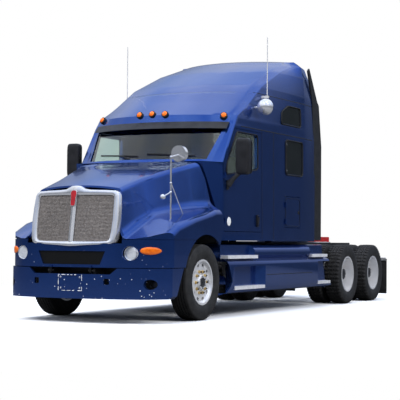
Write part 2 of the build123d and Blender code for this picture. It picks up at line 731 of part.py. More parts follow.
def hood_form(inset):
    with BuildPart() as form:
        for y_share, crown_z, crease_x, crease_z, valley_x, valley_z, shoulder_z in hood_station_shares:
            with BuildSketch(Plane.XZ.offset(-(hood_nose_y + y_share * hood_length))) as section:
                with BuildLine():
                    top_z = hood_low_z - inset
                    wide = body_half - inset
                    crease = (crease_x * body_half - inset, top_z + crease_z * hood_height)
                    valley = (valley_x * body_half - inset, top_z + valley_z * hood_height)
                    shoulder = (wide, top_z + shoulder_z * hood_height)
                    side = [crease, valley, shoulder, (wide, hood_low_z)]
                    Polyline(side + [(-x, z) for x, z in reversed(side)])
                    ThreePointArc((-crease[0], crease[1]), (0, top_z + crown_z * hood_height), crease)
                make_face()
                fillet(section.vertices().sort_by(Axis.Y)[2:4], fender_radius - inset)
                fillet(section.vertices().sort_by(Axis.Y)[-4:-2], valley_radius)
                fillet(section.vertices().sort_by(Axis.Y)[-2:], hood_crease_radius - inset)
        loft(ruled=True)
        plan = [(x - inset * x / body_half, y + inset) for x, y in
                share_points(hood_plan_shares, 0, hood_nose_y, body_half, hood_length)]
        add(plan_prism(plan, hood_low_z - overrun, hood_low_z + 2 * hood_height, hood_nose_y + hood_length),
            mode=Mode.INTERSECT)
    return form.part


def hinge_pins(pin_x, pin_y, heights):
    """Fixed lugs with pins, and the loose barrels that turn on them, stacked at the given heights."""
    fixed, loose = [], []
    for low_z in heights:
        with BuildPart() as lug:
            with BuildSketch(Plane.XY.offset(low_z)):
                with Locations((pin_x, pin_y)):
                    Circle(barrel_radius)
                with Locations(((pin_x + cab_half - lug_seat) / 2, pin_y - barrel_radius - door_gap / 4)):
                    Rectangle(pin_x - cab_half + lug_seat, 2 * barrel_radius - door_gap / 2)
            extrude(amount=barrel_height)
            add(rod((pin_x, pin_y, low_z), (pin_x, pin_y, low_z + 2 * barrel_height), pin_radius))
        with BuildPart() as barrel:
            with BuildSketch(Plane.XY.offset(low_z + barrel_height + running_gap)):
                with Locations((pin_x, pin_y)):
                    Circle(barrel_radius)
                with Locations(((pin_x + cab_half - lug_seat) / 2, pin_y + barrel_radius + door_gap / 4)):
                    Rectangle(pin_x - cab_half + lug_seat, 2 * barrel_radius - door_gap / 2)
                with Locations((pin_x, pin_y)):
                    Circle(pin_radius + kingpin_gap, mode=Mode.SUBTRACT)
            extrude(amount=barrel_height)
        fixed.append(lug.part)
        loose.append(barrel.part)
    return fixed, loose


barrel_radius = 10.0
barrel_height = 40.0
lug_seat = 30.0
pin_radius = 5.0

# Grille: a chromed surround in two tilted faces that meet at the middle bar
surround_half_shares = [(0.494, 0.222), (0.533, 0.417), (0.509, 0.661), (0.26, 0.693), (0, 0.708)]
surround_thickness = 75.0
surround_sweep = 62.0
surround_tilt = 0.156
grille_half = 548.0
grille_low_z = 1027.0
grille_high_z = 1600.0
grille_bar_half = 42.0
mesh_depth = 28.0
mesh_thickness = 10.0
intake_low_z = 736.0
intake_high_z = 903.0
intake_low_half = 420.0
intake_high_half = 492.0
intake_reach = 1000.0
surround_half = share_points(surround_half_shares, 0, hood_low_z, body_half, hood_height)
surround_points = surround_half + [(-x, z) for x, z in reversed(surround_half[:-1])]


def grille_slab(depth, thickness):
    """Two-faced slab that follows the tilted, pointed front of the grille."""
    wide = surround_half_shares[1][0] * body_half + overrun
    sweep = surround_sweep * wide / (surround_half_shares[1][0] * body_half)
    front = hood_nose_y + depth
    base_z = surround_points[0][1] - overrun
    with BuildPart() as slab:
        with BuildSketch(Plane.XY.offset(base_z)):
            with BuildLine():
                lead = front - overrun * surround_tilt
                Polyline((0, lead), (wide, lead + sweep), (wide, lead + sweep + thickness),
                         (0, lead + thickness),
                         (-wide, lead + sweep + thickness), (-wide, lead + sweep), close=True)
            make_face()
        extrude(amount=hood_height, dir=(0, surround_tilt, 1))
    return slab.part


surround_cut = front_prism(surround_points, hood_nose_y - overrun, bumper_rear_y)
surround_seat_half = 700.0
with BuildPart() as surround_room:
    add(grille_slab(-overrun, overrun + surround_thickness))
    add(block((-surround_seat_half, surround_seat_half), (hood_nose_y - 2 * overrun, axle_y),
              (surround_points[0][1], hood_low_z + 2 * hood_height)), mode=Mode.INTERSECT)
surround_seat = surround_room.part
window_cuts = [block((min(side * grille_bar_half, side * grille_half),
                      max(side * grille_bar_half, side * grille_half)),
                     (hood_nose_y - overrun, axle_y), (grille_low_z, grille_high_z)) for side in (-1, 1)]
intake_cut = front_prism([(-intake_low_half, intake_low_z), (intake_low_half, intake_low_z),
                          (intake_high_half, intake_high_z), (-intake_high_half, intake_high_z)],
                         hood_nose_y - overrun, axle_y - intake_reach)
with BuildPart() as grille_surround:
    add(surround_cut)
    add(grille_slab(0, surround_thickness), mode=Mode.INTERSECT)
    for cut in window_cuts:
        add(cut, mode=Mode.SUBTRACT)
save(grille_surround.part, "grille_surround")

# Hood shell with its lamp pockets, intake and hinge lugs
hood_outline = side_prism(share_points(hood_side_shares, hood_nose_y, hood_low_z, hood_length, hood_height),
                          body_half + overrun)
hood_outer = hood_form(0)
hood_inner = hood_form(hood_wall)
hood_skin = hood_outer - hood_inner
lamp_x = 794.0
lamp_z = 878.0
lamp_radius = 92.0
lamp_front_reach = 1250.0
lamp_front_y = axle_y - lamp_front_reach
lamp_depth = 90.0
lamp_round = 28.0
signal_x = (925.0, 1095.0)
signal_z = (853.0, 967.0)
signal_reach = (1300.0, 900.0)
signal_y = (axle_y - signal_reach[0], axle_y - signal_reach[1])
groove_z = 1048.0
groove_width = 9.0
groove_depth = 12.0
lug_radius = 26.0
lug_half = 18.0
lug_reach = 5.0
lug_x = bumper_bracket_x - bracket_wall - lug_half - lug_reach
lug_rise = 70.0
liner_inner_x = 620.0
with BuildPart() as groove:
    add(block((-body_half, body_half), (hood_nose_y, arch_centre_y), (groove_z, groove_z + groove_width)))
    add(hood_form(groove_depth), mode=Mode.SUBTRACT)
with BuildPart() as hood_shell:
    add(hood_skin)
    add(hood_outline, mode=Mode.INTERSECT)
    add(surround_seat, mode=Mode.SUBTRACT)
    add(intake_cut, mode=Mode.SUBTRACT)
    add(groove.part, mode=Mode.SUBTRACT)
    with BuildSketch(Plane.YZ):
        with Locations((arch_centre_y, arch_centre_z)):
            Circle(arch_radius)
    extrude(amount=body_half + overrun, both=True, mode=Mode.SUBTRACT)
    for side in (-1, 1):
        add(rod((side * lamp_x, hood_nose_y, lamp_z), (side * lamp_x, lamp_front_y + lamp_depth, lamp_z),
                lamp_radius),
            mode=Mode.SUBTRACT)
        add(block((min(side * signal_x[0], side * signal_x[1]), max(side * signal_x[0], side * signal_x[1])),
                  signal_y, signal_z), mode=Mode.SUBTRACT)
        with BuildSketch(Plane.YZ.offset(side * lug_x - lug_half)):
            with Locations((hood_pivot_y, hood_pivot_z)):
                Circle(lug_radius)
            with Locations((hood_pivot_y, hood_pivot_z + lug_rise / 2)):
                Rectangle(2 * (hood_pivot_y - hood_nose_y) - lug_radius * 2, lug_rise)
        extrude(amount=2 * lug_half)
        add(rod((side * lug_x - body_half, hood_pivot_y, hood_pivot_z),
                (side * lug_x + body_half, hood_pivot_y, hood_pivot_z),
                hood_pin_radius + kingpin_gap), mode=Mode.SUBTRACT)
save(hood_shell.part, "hood_shell")

with BuildPart() as headlamp:
    add(rod((lamp_x, lamp_front_y, lamp_z), (lamp_x, lamp_front_y + lamp_depth, lamp_z), lamp_radius))
    fillet(headlamp.edges().group_by(Axis.Y)[0], lamp_round)
save(Compound(children=both_sides(headlamp.part)), "headlamps")

with BuildPart() as turn_signal:
    add(hood_skin)
    add(block(signal_x, signal_y, signal_z), mode=Mode.INTERSECT)
save(Compound(children=both_sides(turn_signal.part)), "turn_signals")

intake_sheet_offset = 9.0
with BuildPart() as intake_fill:
    add(hood_skin)
    add(intake_cut, mode=Mode.INTERSECT)
with BuildPart() as intake_mesh:
    add(intake_fill.part)
    add(intake_fill.part.moved(Location((0, -intake_sheet_offset, 0))), mode=Mode.SUBTRACT)
with BuildPart() as grille_mesh:
    add(grille_slab(mesh_depth, mesh_thickness))
    add(window_cuts[1], mode=Mode.INTERSECT)
save(Compound(children=[*intake_mesh.part.solids(), *[s for g in both_sides(grille_mesh.part)
                                                      for s in g.solids()]]), "grille_meshes")

# Arch liners inside the fenders, with a flange against the outer skin
with BuildPart() as liner:
    for x_from, x_to, wall_from, wall_to in [(body_half - hood_wall - liner_wall, body_half - hood_wall,
                                              arch_radius, liner_radius + liner_wall),
                                             (liner_inner_x, body_half - hood_wall, liner_radius,
                                              liner_radius + liner_wall)]:
        with BuildSketch(Plane.YZ.offset(x_from)):
            with Locations((arch_centre_y, arch_centre_z)):
                Circle(wall_to)
                Circle(wall_from, mode=Mode.SUBTRACT)
        extrude(amount=x_to - x_from)
    add(hood_outline, mode=Mode.INTERSECT)
    add(hood_outer, mode=Mode.INTERSECT)
save(Compound(children=[s for g in both_sides(liner.part) for s in g.solids()]), "arch_liners")

# Hood mirror on the driver's side: post, brace and convex head
post_x = 1000.0
post_reach = 600.0
post_y = axle_y - post_reach
post_radius = 11.0
brace_radius = 9.0
clamp_radius = 17.0
post_top_z = 2110.0
post_low_share = 0.42
brace_reach = 190.0
brace_y = axle_y - brace_reach
brace_join_z = 1775.0
mirror_reach = 330.0
mirror_y = axle_y - mirror_reach
mirror_z = 2165.0
mirror_radius = 106.0
mirror_depth = 70.0
post_low_z = hood_low_z + post_low_share * hood_height
small_join_z = 1660.0
small_reach = 210.0
small_y = post_y - small_reach
small_z = 1590.0
small_radius = 36.0
with BuildPart() as hood_mirror:
    add(rod((post_x, post_y, post_low_z), (post_x, post_y, post_top_z), post_radius))
    add(rod((post_x, brace_y, post_low_z), (post_x, post_y, brace_join_z), brace_radius))
    add(rod((post_x, post_y, post_top_z), (post_x, mirror_y, mirror_z), brace_radius))
    add(rod((post_x, post_y, small_join_z), (post_x, small_y, small_z), brace_radius))
    with Locations((post_x, post_y, post_top_z), (post_x, post_y, brace_join_z),
                   (post_x, post_y, small_join_z)):
        Sphere(clamp_radius)
    with Locations((post_x, small_y, small_z)):
        Sphere(small_radius)
    with BuildSketch(Plane.XZ.offset(-mirror_y)):
        with Locations((post_x, mirror_z)):
            Circle(mirror_radius)
    extrude(amount=mirror_depth)
    add(hood_outer, mode=Mode.SUBTRACT)
save(Compound(children=[hood_mirror.part.solids().sort_by(SortBy.VOLUME)[-1]]), "hood_mirror")

# Cab and sleeper, level by level from the floor up
# Lower levels: height, front corner x and y, side corner x and y, as shares of the cab's sizes
lower_level_shares = [(0, 0.985, 0.087, 0.998, 0.097), (0.071, 0.985, 0.087, 0.998, 0.097),
                      (0.378, 0.849, 0.005, 0.983, 0.097)]
# Upper levels: height, front corner x and y, middle y, side corner x and y, widest x, fold y, tail x and
# y, rounding
upper_level_shares = [
    (0.378, 0.862, 0.079, 0.008, 0.983, 0.097, 1, 0.871, 0.972, 1, 1),
    (0.569, 0.914, 0.189, 0.1, 0.978, 0.192, 0.998, 0.871, 0.97, 1, 0.8),
    (0.621, 0.909, 0.212, 0.113, 0.97, 0.225, 0.996, 0.871, 0.967, 1, 0.8),
    (0.704, 0.879, 0.316, 0.226, 0.948, 0.35, 0.991, 0.871, 0.962, 1, 1),
    (0.803, 0.849, 0.431, 0.355, 0.922, 0.476, 0.983, 0.871, 0.95, 1, 1),
    (0.91, 0.802, 0.624, 0.547, 0.879, 0.679, 0.961, 0.871, 0.92, 0.968, 0.7),
    (0.968, 0.789, 0.771, 0.692, 0.853, 0.818, 0.935, 0.866, 0.9, 0.934, 0.4),
    (1, 0.733, 0.837, 0.758, 0.776, 0.848, 0.845, 0.855, 0.82, 0.9, 0.1)]
slope_share = 1.25
fold_share = 0.871
tail_share = 0.972
corner_radius = 50.0


def cab_x(share, inset):
    return share * cab_half - inset


def cab_y(share, inset):
    return cab_front_y + share * cab_length + inset


def cab_lower(inset, low_z, high_z):
    with BuildPart() as form:
        for place, (_, corner_x, corner_y, side_x, side_y) in enumerate(lower_level_shares):
            level_z = [low_z, cab_floor_z + lower_level_shares[1][0] * cab_height, high_z][place]
            with BuildSketch(Plane.XY.offset(level_z)):
                with BuildLine():
                    half = [(cab_x(corner_x, inset), cab_y(corner_y, inset)),
                            (cab_x(side_x, inset), cab_y(side_y, inset)),
                            (cab_x(1, inset), cab_y(fold_share, 0)), (cab_x(tail_share, inset),
                                                                      cab_y(1, -inset))]
                    Polyline(half + [(-x, y) for x, y in reversed(half)], close=True)
                make_face()
        loft(ruled=True)
    return form.part


def cab_upper(inset, low_z, high_z):
    with BuildPart() as form:
        for place, row in enumerate(upper_level_shares):
            share, corner_x, corner_y, middle_y, side_x, side_y, *rest = row
            wide_x, fold_y, tail_x, tail_y, round_share = rest
            level_z = cab_floor_z + share * cab_height
            if place == 0:
                level_z = low_z
            if place == len(upper_level_shares) - 1:
                level_z = high_z
            with BuildSketch(Plane.XY.offset(level_z)) as section:
                with BuildLine():
                    corner = (cab_x(corner_x, inset), cab_y(corner_y, slope_share * inset))
                    half = [corner, (cab_x(side_x, inset), cab_y(side_y, inset)),
                            (cab_x(wide_x, inset), cab_y(fold_y, 0)),
                            (cab_x(tail_x, inset), cab_y(tail_y, -inset))]
                    Polyline(half + [(-x, y) for x, y in reversed(half)])
                    ThreePointArc((-corner[0], corner[1]), (0, cab_y(middle_y, slope_share * inset)), corner)
                make_face()
                rounded = section.vertices().sort_by(Axis.Y)
                fillet(rounded[:4] + rounded[-2:], round_share * corner_radius)
        loft(ruled=True)
    return form.part


cowl_z = cab_floor_z + upper_level_shares[0][0] * cab_height
cab_top_z = cab_floor_z + cab_height
cab_outer = cab_lower(0, cab_floor_z, cowl_z) + cab_upper(0, cowl_z, cab_top_z)
cab_inner = (cab_lower(cab_wall, cab_floor_z + cab_wall, cowl_z - cab_wall)
             + cab_upper(cab_wall, cowl_z - cab_wall, cab_top_z - cab_wall))
cab_skin = cab_outer - cab_inner

# Door outline and its glass, side view, as shares of the cab's length and height
door_shares = [(0.1013, 0.043), (0.1013, 0.365), (0.195, 0.555), (0.4316, 0.555), (0.4316, 0.043)]
door_glass_shares = [(0.125, 0.325), (0.128, 0.37), (0.213, 0.535), (0.39, 0.535), (0.391, 0.365)]
luggage_shares = [(0.658, 0.071), (0.82, 0.071), (0.82, 0.241), (0.658, 0.241)]
sleeper_window_shares = [(0.668, 0.362), (0.834, 0.362), (0.834, 0.539), (0.668, 0.539)]
upper_window_shares = [(0.626, 0.631), (0.816, 0.631), (0.816, 0.727), (0.7, 0.727), (0.636, 0.69)]
windshield_reach = 1200.0
windshield_shares = [(0.80, 0.392), (0.87, 0.556)]
side_glass_reach = 44.0
side_glass_x = cab_half - side_glass_reach
side_cut_reach = 95.0
side_cut_x = cab_half - side_cut_reach


def cab_points(shares):
    return share_points(shares, cab_front_y, cab_floor_z, cab_length, cab_height)


def side_cut(points, side):
    """Side outline cut through one side wall only."""
    with BuildPart() as cut:
        with BuildSketch(Plane.YZ.offset(side * side_cut_x)):
            with BuildLine():
                Polyline(points, close=True)
            make_face()
        extrude(amount=side * overrun)
    return cut.part


def side_pane(points, side, pane_x):
    with BuildPart() as pane:
        with BuildSketch(Plane.YZ.offset(side * pane_x)):
            with BuildLine():
                Polyline(points, close=True)
            make_face()
        extrude(amount=side * glass_thickness)
    return pane.part


def shrunk(points, gap):
    """Outline moved in by a gap all round."""
    with BuildSketch(Plane.YZ) as inner:
        with BuildLine():
            Polyline(points, close=True)
        make_face()
        offset(amount=-gap, kind=Kind.INTERSECTION)
    return inner.sketch


windshield_half = [(a * cab_half, cab_floor_z + b * cab_height) for a, b in windshield_shares]
windshield_cut = front_prism([(-windshield_half[0][0], windshield_half[0][1]), windshield_half[0],
                              windshield_half[1],
                              (-windshield_half[1][0],
                               windshield_half[1][1])], cab_front_y - overrun, axle_y + windshield_reach)
door_points = cab_points(door_shares)
glass_points = cab_points(door_glass_shares)
luggage_points = cab_points(luggage_shares)
window_points = cab_points(sleeper_window_shares)
upper_window_points = cab_points(upper_window_shares)
door_pin_x = cab_half + barrel_radius + seam
door_pin_shares = [0.08, 0.3]
luggage_pin_shares = [0.09, 0.18]
door_pin_heights = [cab_floor_z + share * cab_height for share in door_pin_shares]
luggage_pin_heights = [cab_floor_z + share * cab_height for share in luggage_pin_shares]
door_fixed, door_loose = hinge_pins(door_pin_x, door_points[0][0] + door_gap / 2, door_pin_heights)
luggage_fixed, luggage_loose = hinge_pins(door_pin_x, luggage_points[0][0] + door_gap / 2,
                                          luggage_pin_heights)

zones = {
    "cab_shell": ((cab_front_y - overrun, sleeper_seam_y), (cab_floor_z, roof_seam_z)),
    "sleeper_shell": ((sleeper_seam_y, cab_front_y + cab_length + overrun), (cab_floor_z, roof_seam_z)),
    "raised_roof": ((cab_front_y, cab_front_y + cab_length + overrun), (roof_seam_z, cap_seam_z)),
    "roof_cap": ((cab_front_y, cab_front_y + cab_length + overrun), (cap_seam_z, cab_top_z + overrun)),
}
for label, (y_span, z_span) in zones.items():
    with BuildPart() as shell:
        add(cab_skin)
        add(block((-body_half - overrun, body_half + overrun), y_span, z_span), mode=Mode.INTERSECT)
        for side in (-1, 1):
            if label == "cab_shell":
                add(side_cut(door_points, side), mode=Mode.SUBTRACT)
            if label == "sleeper_shell":
                add(side_cut(luggage_points, side), mode=Mode.SUBTRACT)
                add(side_cut(window_points, side), mode=Mode.SUBTRACT)
            if label == "raised_roof":
                add(side_cut(upper_window_points, side), mode=Mode.SUBTRACT)
        if label == "cab_shell":
            add(windshield_cut, mode=Mode.SUBTRACT)
            for lug in door_fixed:
                for one in both_sides(lug):
                    add(one)
        if label == "sleeper_shell":
            for lug in luggage_fixed:
                for one in both_sides(lug):
                    add(one)
    save(shell.part, label)

handle_reach = 1752.0
handle_y = axle_y + handle_reach
handle_z = 1335.0
handle_width = 50.0
handle_height = 150.0
handle_out = 22.0

# Doors and luggage doors: the same skin inside the openings, with a running gap
for label, points, loose, window in [("door", door_points, door_loose, glass_points),
                                     ("luggage_door", luggage_points, luggage_loose, None)]:
    with BuildPart() as leaf:
        add(cab_skin)
        with BuildPart(mode=Mode.PRIVATE) as outline:
            extrude(shrunk(points, door_gap).moved(Location((side_cut_x, 0, 0))), amount=overrun)
        add(outline.part, mode=Mode.INTERSECT)
        if window:
            add(side_cut(window, 1), mode=Mode.SUBTRACT)
        for barrel in loose:
            add(barrel)
        if window:
            with Locations((cab_half + handle_out / 2, handle_y, handle_z)):
                Box(handle_out + cab_wall / 2, handle_width, handle_height)
    save(leaf.part, f"{label}_left")
    save(leaf.part.mirror(Plane.YZ), f"{label}_right")

door_glass = side_pane(glass_points, 1, side_glass_x)
save(door_glass, "door_glass_left")
save(door_glass.mirror(Plane.YZ), "door_glass_right")
panes = [side_pane(points, side, side_glass_x) for points in (window_points, upper_window_points)
         for side in (-1, 1)]
save(Compound(children=panes), "sleeper_glass")


def front_sheet(levels, inset, thickness):
    """Curved sheet across the front, between levels of height, corner x, corner y and middle y."""
    with BuildPart() as sheet:
        for level_z, corner_x, corner_y, middle_y in levels:
            with BuildSketch(Plane.XY.offset(level_z)):
                with BuildLine():
                    front = inset
                    back = inset + thickness
                    ThreePointArc((-corner_x, corner_y + front), (0, middle_y + front),
                                  (corner_x, corner_y + front))
                    Line((corner_x, corner_y + front), (corner_x, corner_y + back))
                    ThreePointArc((corner_x, corner_y + back), (0, middle_y + back),
                                  (-corner_x, corner_y + back))
                    Line((-corner_x, corner_y + back), (-corner_x, corner_y + front))
                make_face()
        loft(ruled=True)
    return sheet.part


glass_levels = [(cab_floor_z + row[0] * cab_height, row[1] * cab_half, cab_y(row[2], 0), cab_y(row[3], 0))
                for row in upper_level_shares[:2]]
with BuildPart() as windshield:
    add(front_sheet(glass_levels, glass_inset, glass_thickness))
    add(windshield_cut, mode=Mode.INTERSECT)
save(windshield.part, "windshield")

# Sun visor over the windshield
visor_drop = 100.0
visor_reach = 95.0
visor_wall = 12.0
visor_top_reach = 45.0
visor_top_z = roof_seam_z + visor_top_reach
visor_x = 1065.0
brow = upper_level_shares[1]
with BuildPart() as visor:
    add(front_sheet([(visor_top_z - visor_drop, visor_x, cab_y(brow[2], 0) - visor_reach,
                      cab_y(brow[3], 0) - visor_reach),
                     (visor_top_z, visor_x, cab_y(brow[2], 0),
                      cab_y(brow[3], 0) + visor_wall)], 0, visor_wall))
    add(cab_outer, mode=Mode.SUBTRACT)
save(visor.part.solids().sort_by(SortBy.VOLUME)[-1], "visor")

# Marker lamps along the brow, antennas and extenders at the rear edges
marker_places_shares = [(0, 0.111, 0.6277), (0.175, 0.1118, 0.6255), (0.849, 0.1858, 0.618)]
marker_size = (110.0, 70.0, 32.0)
markers = []
for x_share, y_share, z_share in marker_places_shares:
    for side in (-1, 1):
        if side > 0 or x_share > 0:
            with BuildPart() as marker:
                with Locations((side * x_share * cab_half, cab_y(y_share, 0),
                                cab_floor_z + z_share * cab_height)):
                    Box(*marker_size)
                add(cab_outer, mode=Mode.SUBTRACT)
            markers.append(marker.part.solids().sort_by(Axis.Y)[0])
save(Compound(children=markers), "marker_lamps")

antenna_x = 1180.0
antenna_reach = 2030.0
antenna_y = axle_y + antenna_reach
antenna_low_z = 3150.0
antenna_top_z = 4030.0
antenna_radius = 7.0
antenna_base = 40.0
roof_mirror_x = 1280.0
roof_mirror_foot_x = 1000.0
roof_mirror_reach = 1745.0
roof_mirror_y = axle_y + roof_mirror_reach
roof_mirror_z = 2972.0
roof_mirror_radius = 118.0
roof_stalk_radius = 14.0
antennas = []
for side in (-1, 1):
    with BuildPart() as antenna:
        add(rod((side * antenna_x, antenna_y, antenna_low_z), (side * antenna_x, antenna_y, antenna_top_z),
                antenna_radius))
        with Locations((side * (antenna_x - antenna_base), antenna_y, antenna_low_z)):
            Box(3 * antenna_base, antenna_base, antenna_base)
        add(cab_outer, mode=Mode.SUBTRACT)
    antennas.append(antenna.part.solids().sort_by(Axis.Z)[-1])
with BuildPart() as roof_mirror:
    add(rod((roof_mirror_foot_x, roof_mirror_y, roof_mirror_z),
            (roof_mirror_x, roof_mirror_y, roof_mirror_z), roof_stalk_radius))
    with Locations((roof_mirror_x, roof_mirror_y, roof_mirror_z)):
        Sphere(roof_mirror_radius)
    with Locations((roof_mirror_x, roof_mirror_y + roof_mirror_radius, roof_mirror_z)):
        Box(2 * roof_mirror_radius, 2 * roof_mirror_radius, 2 * roof_mirror_radius, mode=Mode.SUBTRACT)
    add(cab_outer, mode=Mode.SUBTRACT)
antennas.append(roof_mirror.part.solids().sort_by(SortBy.VOLUME)[-1])
save(Compound(children=antennas), "antennas")

extender_shares = [(1, 0.004), (1.076, 0.004), (1.076, 0.543), (1.045, 0.777), (1.026, 0.798),
                   (0.934, 0.975), (0.92, 0.96), (0.97, 0.8)]
extender_wall = 25.0
extender_x = tail_share * cab_half - extender_wall
with BuildPart() as extender:
    with BuildSketch(Plane.YZ.offset(extender_x)):
        with BuildLine():
            Polyline(cab_points(extender_shares), close=True)
        make_face()
    extrude(amount=extender_wall)
    add(cab_outer, mode=Mode.SUBTRACT)
save(Compound(children=both_sides(extender.part.solids().sort_by(SortBy.VOLUME)[-1])), "side_extenders")

# Door mirrors: a head on a bracket from the door
head_x = 1369.0
head_reach = 810.0
head_y = axle_y + head_reach
head_z = 2200.0
head_size = (240.0, 150.0, 510.0)
head_radius = 45.0
bracket_reach = 745.0
bracket_y = axle_y + bracket_reach
bracket_z = 1810.0
bracket_radius = 17.0
bracket_block_shares = (3, 4, 8)
with BuildPart() as door_mirror:
    with Locations((head_x, head_y, head_z)):
        Box(*head_size)
    fillet(door_mirror.edges().filter_by(Axis.Z), head_radius)
    add(rod((cab_half - bracket_radius, bracket_y, bracket_z), (head_x, head_y, head_z - head_size[2] / 3),
            bracket_radius))
    with Locations((cab_half, bracket_y, bracket_z)):
        Box(*[times * bracket_radius for times in bracket_block_shares])
    add(cab_outer, mode=Mode.SUBTRACT)
mirror_solid = door_mirror.part.solids().sort_by(SortBy.VOLUME)[-1]
save(Compound(children=[mirror_solid.mirror(Plane.YZ)]), "door_mirror_right")
save(Compound(children=[mirror_solid]), "door_mirror_left")

# Inside the cab: dashboard with the steering wheel, seats and bunk
floor_z = cab_floor_z + cab_wall
dash_half = 1020.0
dash_reach = (690.0, 980.0)
dash_y = (axle_y + dash_reach[0], axle_y + dash_reach[1])
dash_z = (1600.0, 2010.0)
dash_leg_half = 240.0
wheel_x = 520.0
wheel_reach = 1170.0
wheel_y = axle_y + wheel_reach
wheel_z = 2030.0
wheel_ring = 215.0
column_share = 1.6
wheel_tube = 15.0
wheel_lean = 55.0
with BuildPart() as dashboard:
    add(block((-dash_half, dash_half), dash_y, dash_z))
    add(block((-dash_leg_half, dash_leg_half), dash_y, (floor_z, dash_z[0])))
    column_plane = Plane((wheel_x, wheel_y, wheel_z), x_dir=(1, 0, 0),
                         z_dir=(0, sin(radians(wheel_lean)), cos(radians(wheel_lean))))
    with BuildSketch(column_plane.offset(-wheel_ring * column_share)):
        Circle(2 * wheel_tube)
    extrude(amount=wheel_ring * column_share)
    with BuildSketch(column_plane.offset(-wheel_tube / 2)):
        Rectangle(2 * wheel_ring, 2 * wheel_tube)
    extrude(amount=wheel_tube)
    with BuildSketch(Plane(column_plane.origin, x_dir=column_plane.x_dir, z_dir=column_plane.y_dir)):
        with Locations((wheel_ring, 0)):
            Circle(wheel_tube)
    revolve(axis=Axis(column_plane.origin, column_plane.z_dir))
save(dashboard.part, "dashboard")

seat_x = 560.0
seat_half = 250.0
seat_reach = 1560.0
seat_y = axle_y + seat_reach
seat_depth = 500.0
cushion_low_z = 1430.0
cushion_height = 140.0
back_depth = 130.0
back_height = 720.0
post_half = 150.0
seats = []
for side in (-1, 1):
    centre = side * seat_x
    with BuildPart() as seat:
        add(block((centre - post_half, centre + post_half), (seat_y + post_half / 2,
                                                             seat_y + seat_depth - post_half / 2),
                  (floor_z, cushion_low_z)))
        add(block((centre - seat_half, centre + seat_half), (seat_y, seat_y + seat_depth),
                  (cushion_low_z, cushion_low_z + cushion_height)))
        add(block((centre - seat_half, centre + seat_half), (seat_y + seat_depth - back_depth,
                                                             seat_y + seat_depth),
                  (cushion_low_z + cushion_height, cushion_low_z + cushion_height + back_height)))
    seats.append(seat.part)
save(Compound(children=seats), "seats")

bunk_reach = (3050.0, 4010.0)
bunk_y = (axle_y + bunk_reach[0], axle_y + bunk_reach[1])
bunk_half = 1068.0
bunk_top_z = 1760.0
with BuildPart() as bunk:
    add(block((-bunk_half, bunk_half), bunk_y, (floor_z, bunk_top_z)))
save(bunk.part, "bunk")

# Deck plate behind the sleeper, with a box on its left edge
deck_half = 1000.0
deck_reach = (4085.0, 5130.0)
deck_y = (axle_y + deck_reach[0], axle_y + deck_reach[1])
deck_thickness = 15.0
deck_box_x = (800.0, 985.0)
deck_box_reach = (4620.0, 5110.0)
deck_box_y = (axle_y + deck_box_reach[0], axle_y + deck_box_reach[1])
deck_box_height = 80.0
deck_box_radius = 22.0
with BuildPart() as deck_plate:
    add(block((-deck_half, deck_half), deck_y, (rail_top_z, rail_top_z + deck_thickness)))
save(deck_plate.part, "deck_plate")
with BuildPart() as deck_box:
    add(block(deck_box_x, deck_box_y, (rail_top_z + deck_thickness,
                                       rail_top_z + deck_thickness + deck_box_height)))
    fillet(deck_box.edges().filter_by(Axis.X).group_by(Axis.Z)[-1], deck_box_radius)
save(deck_box.part, "deck_box")

# Fifth wheel: fixed stands with pivot pins, and a tilting plate with its throat
fifth_reach = 5680.0
fifth_y = axle_y + fifth_reach
fifth_pivot_z = 1140.0
fifth_top_z = 1236.0
fifth_thickness = 40.0
fifth_half = 445.0
fifth_front = 440.0
fifth_rear = 400.0
fifth_pin_radius = 20.0
stand_half = 60.0
stand_wall = 40.0
stand_x = 415.0
stand_top_radius = 26.0
ear_reach = 50.0
ear_x = stand_x - ear_reach
ear_wall = 30.0
slide_wall = 25.0
slide_length = 800.0
kingpin_bore_radius = 25.6
throat_half = 210.0
throat_run = 300.0
with BuildPart() as fifth_wheel_base:
    for side in (-1, 1):
        add(block((min(side * stand_x, side * (stand_x - rail_flange)),
                   max(side * stand_x, side * (stand_x - rail_flange))),
                  (fifth_y - slide_length / 2, fifth_y + slide_length / 2), (rail_top_z,
                                                                             rail_top_z + slide_wall)))
        with BuildSketch(Plane.YZ.offset(side * (stand_x - stand_wall / 2) - stand_wall / 2)):
            with BuildLine():
                Polyline((fifth_y - stand_half * 2, rail_top_z + slide_wall),
                         (fifth_y + stand_half * 2, rail_top_z + slide_wall),
                         (fifth_y + stand_top_radius, fifth_pivot_z), (fifth_y - stand_top_radius,
                                                                       fifth_pivot_z), close=True)
            make_face()
            with Locations((fifth_y, fifth_pivot_z)):
                Circle(stand_top_radius)
        extrude(amount=stand_wall)
        add(rod((side * (stand_x - stand_wall), fifth_y, fifth_pivot_z),
                (side * (ear_x - ear_wall), fifth_y, fifth_pivot_z), fifth_pin_radius))
    add(block((-stand_x, stand_x), (fifth_y - slide_length / 2, fifth_y - slide_length / 2 + stand_half),
              (rail_top_z, rail_top_z + slide_wall)))
    add(block((-stand_x, stand_x), (fifth_y + slide_length / 2 - stand_half, fifth_y + slide_length / 2),
              (rail_top_z, rail_top_z + slide_wall)))
save(fifth_wheel_base.part, "fifth_wheel_base")

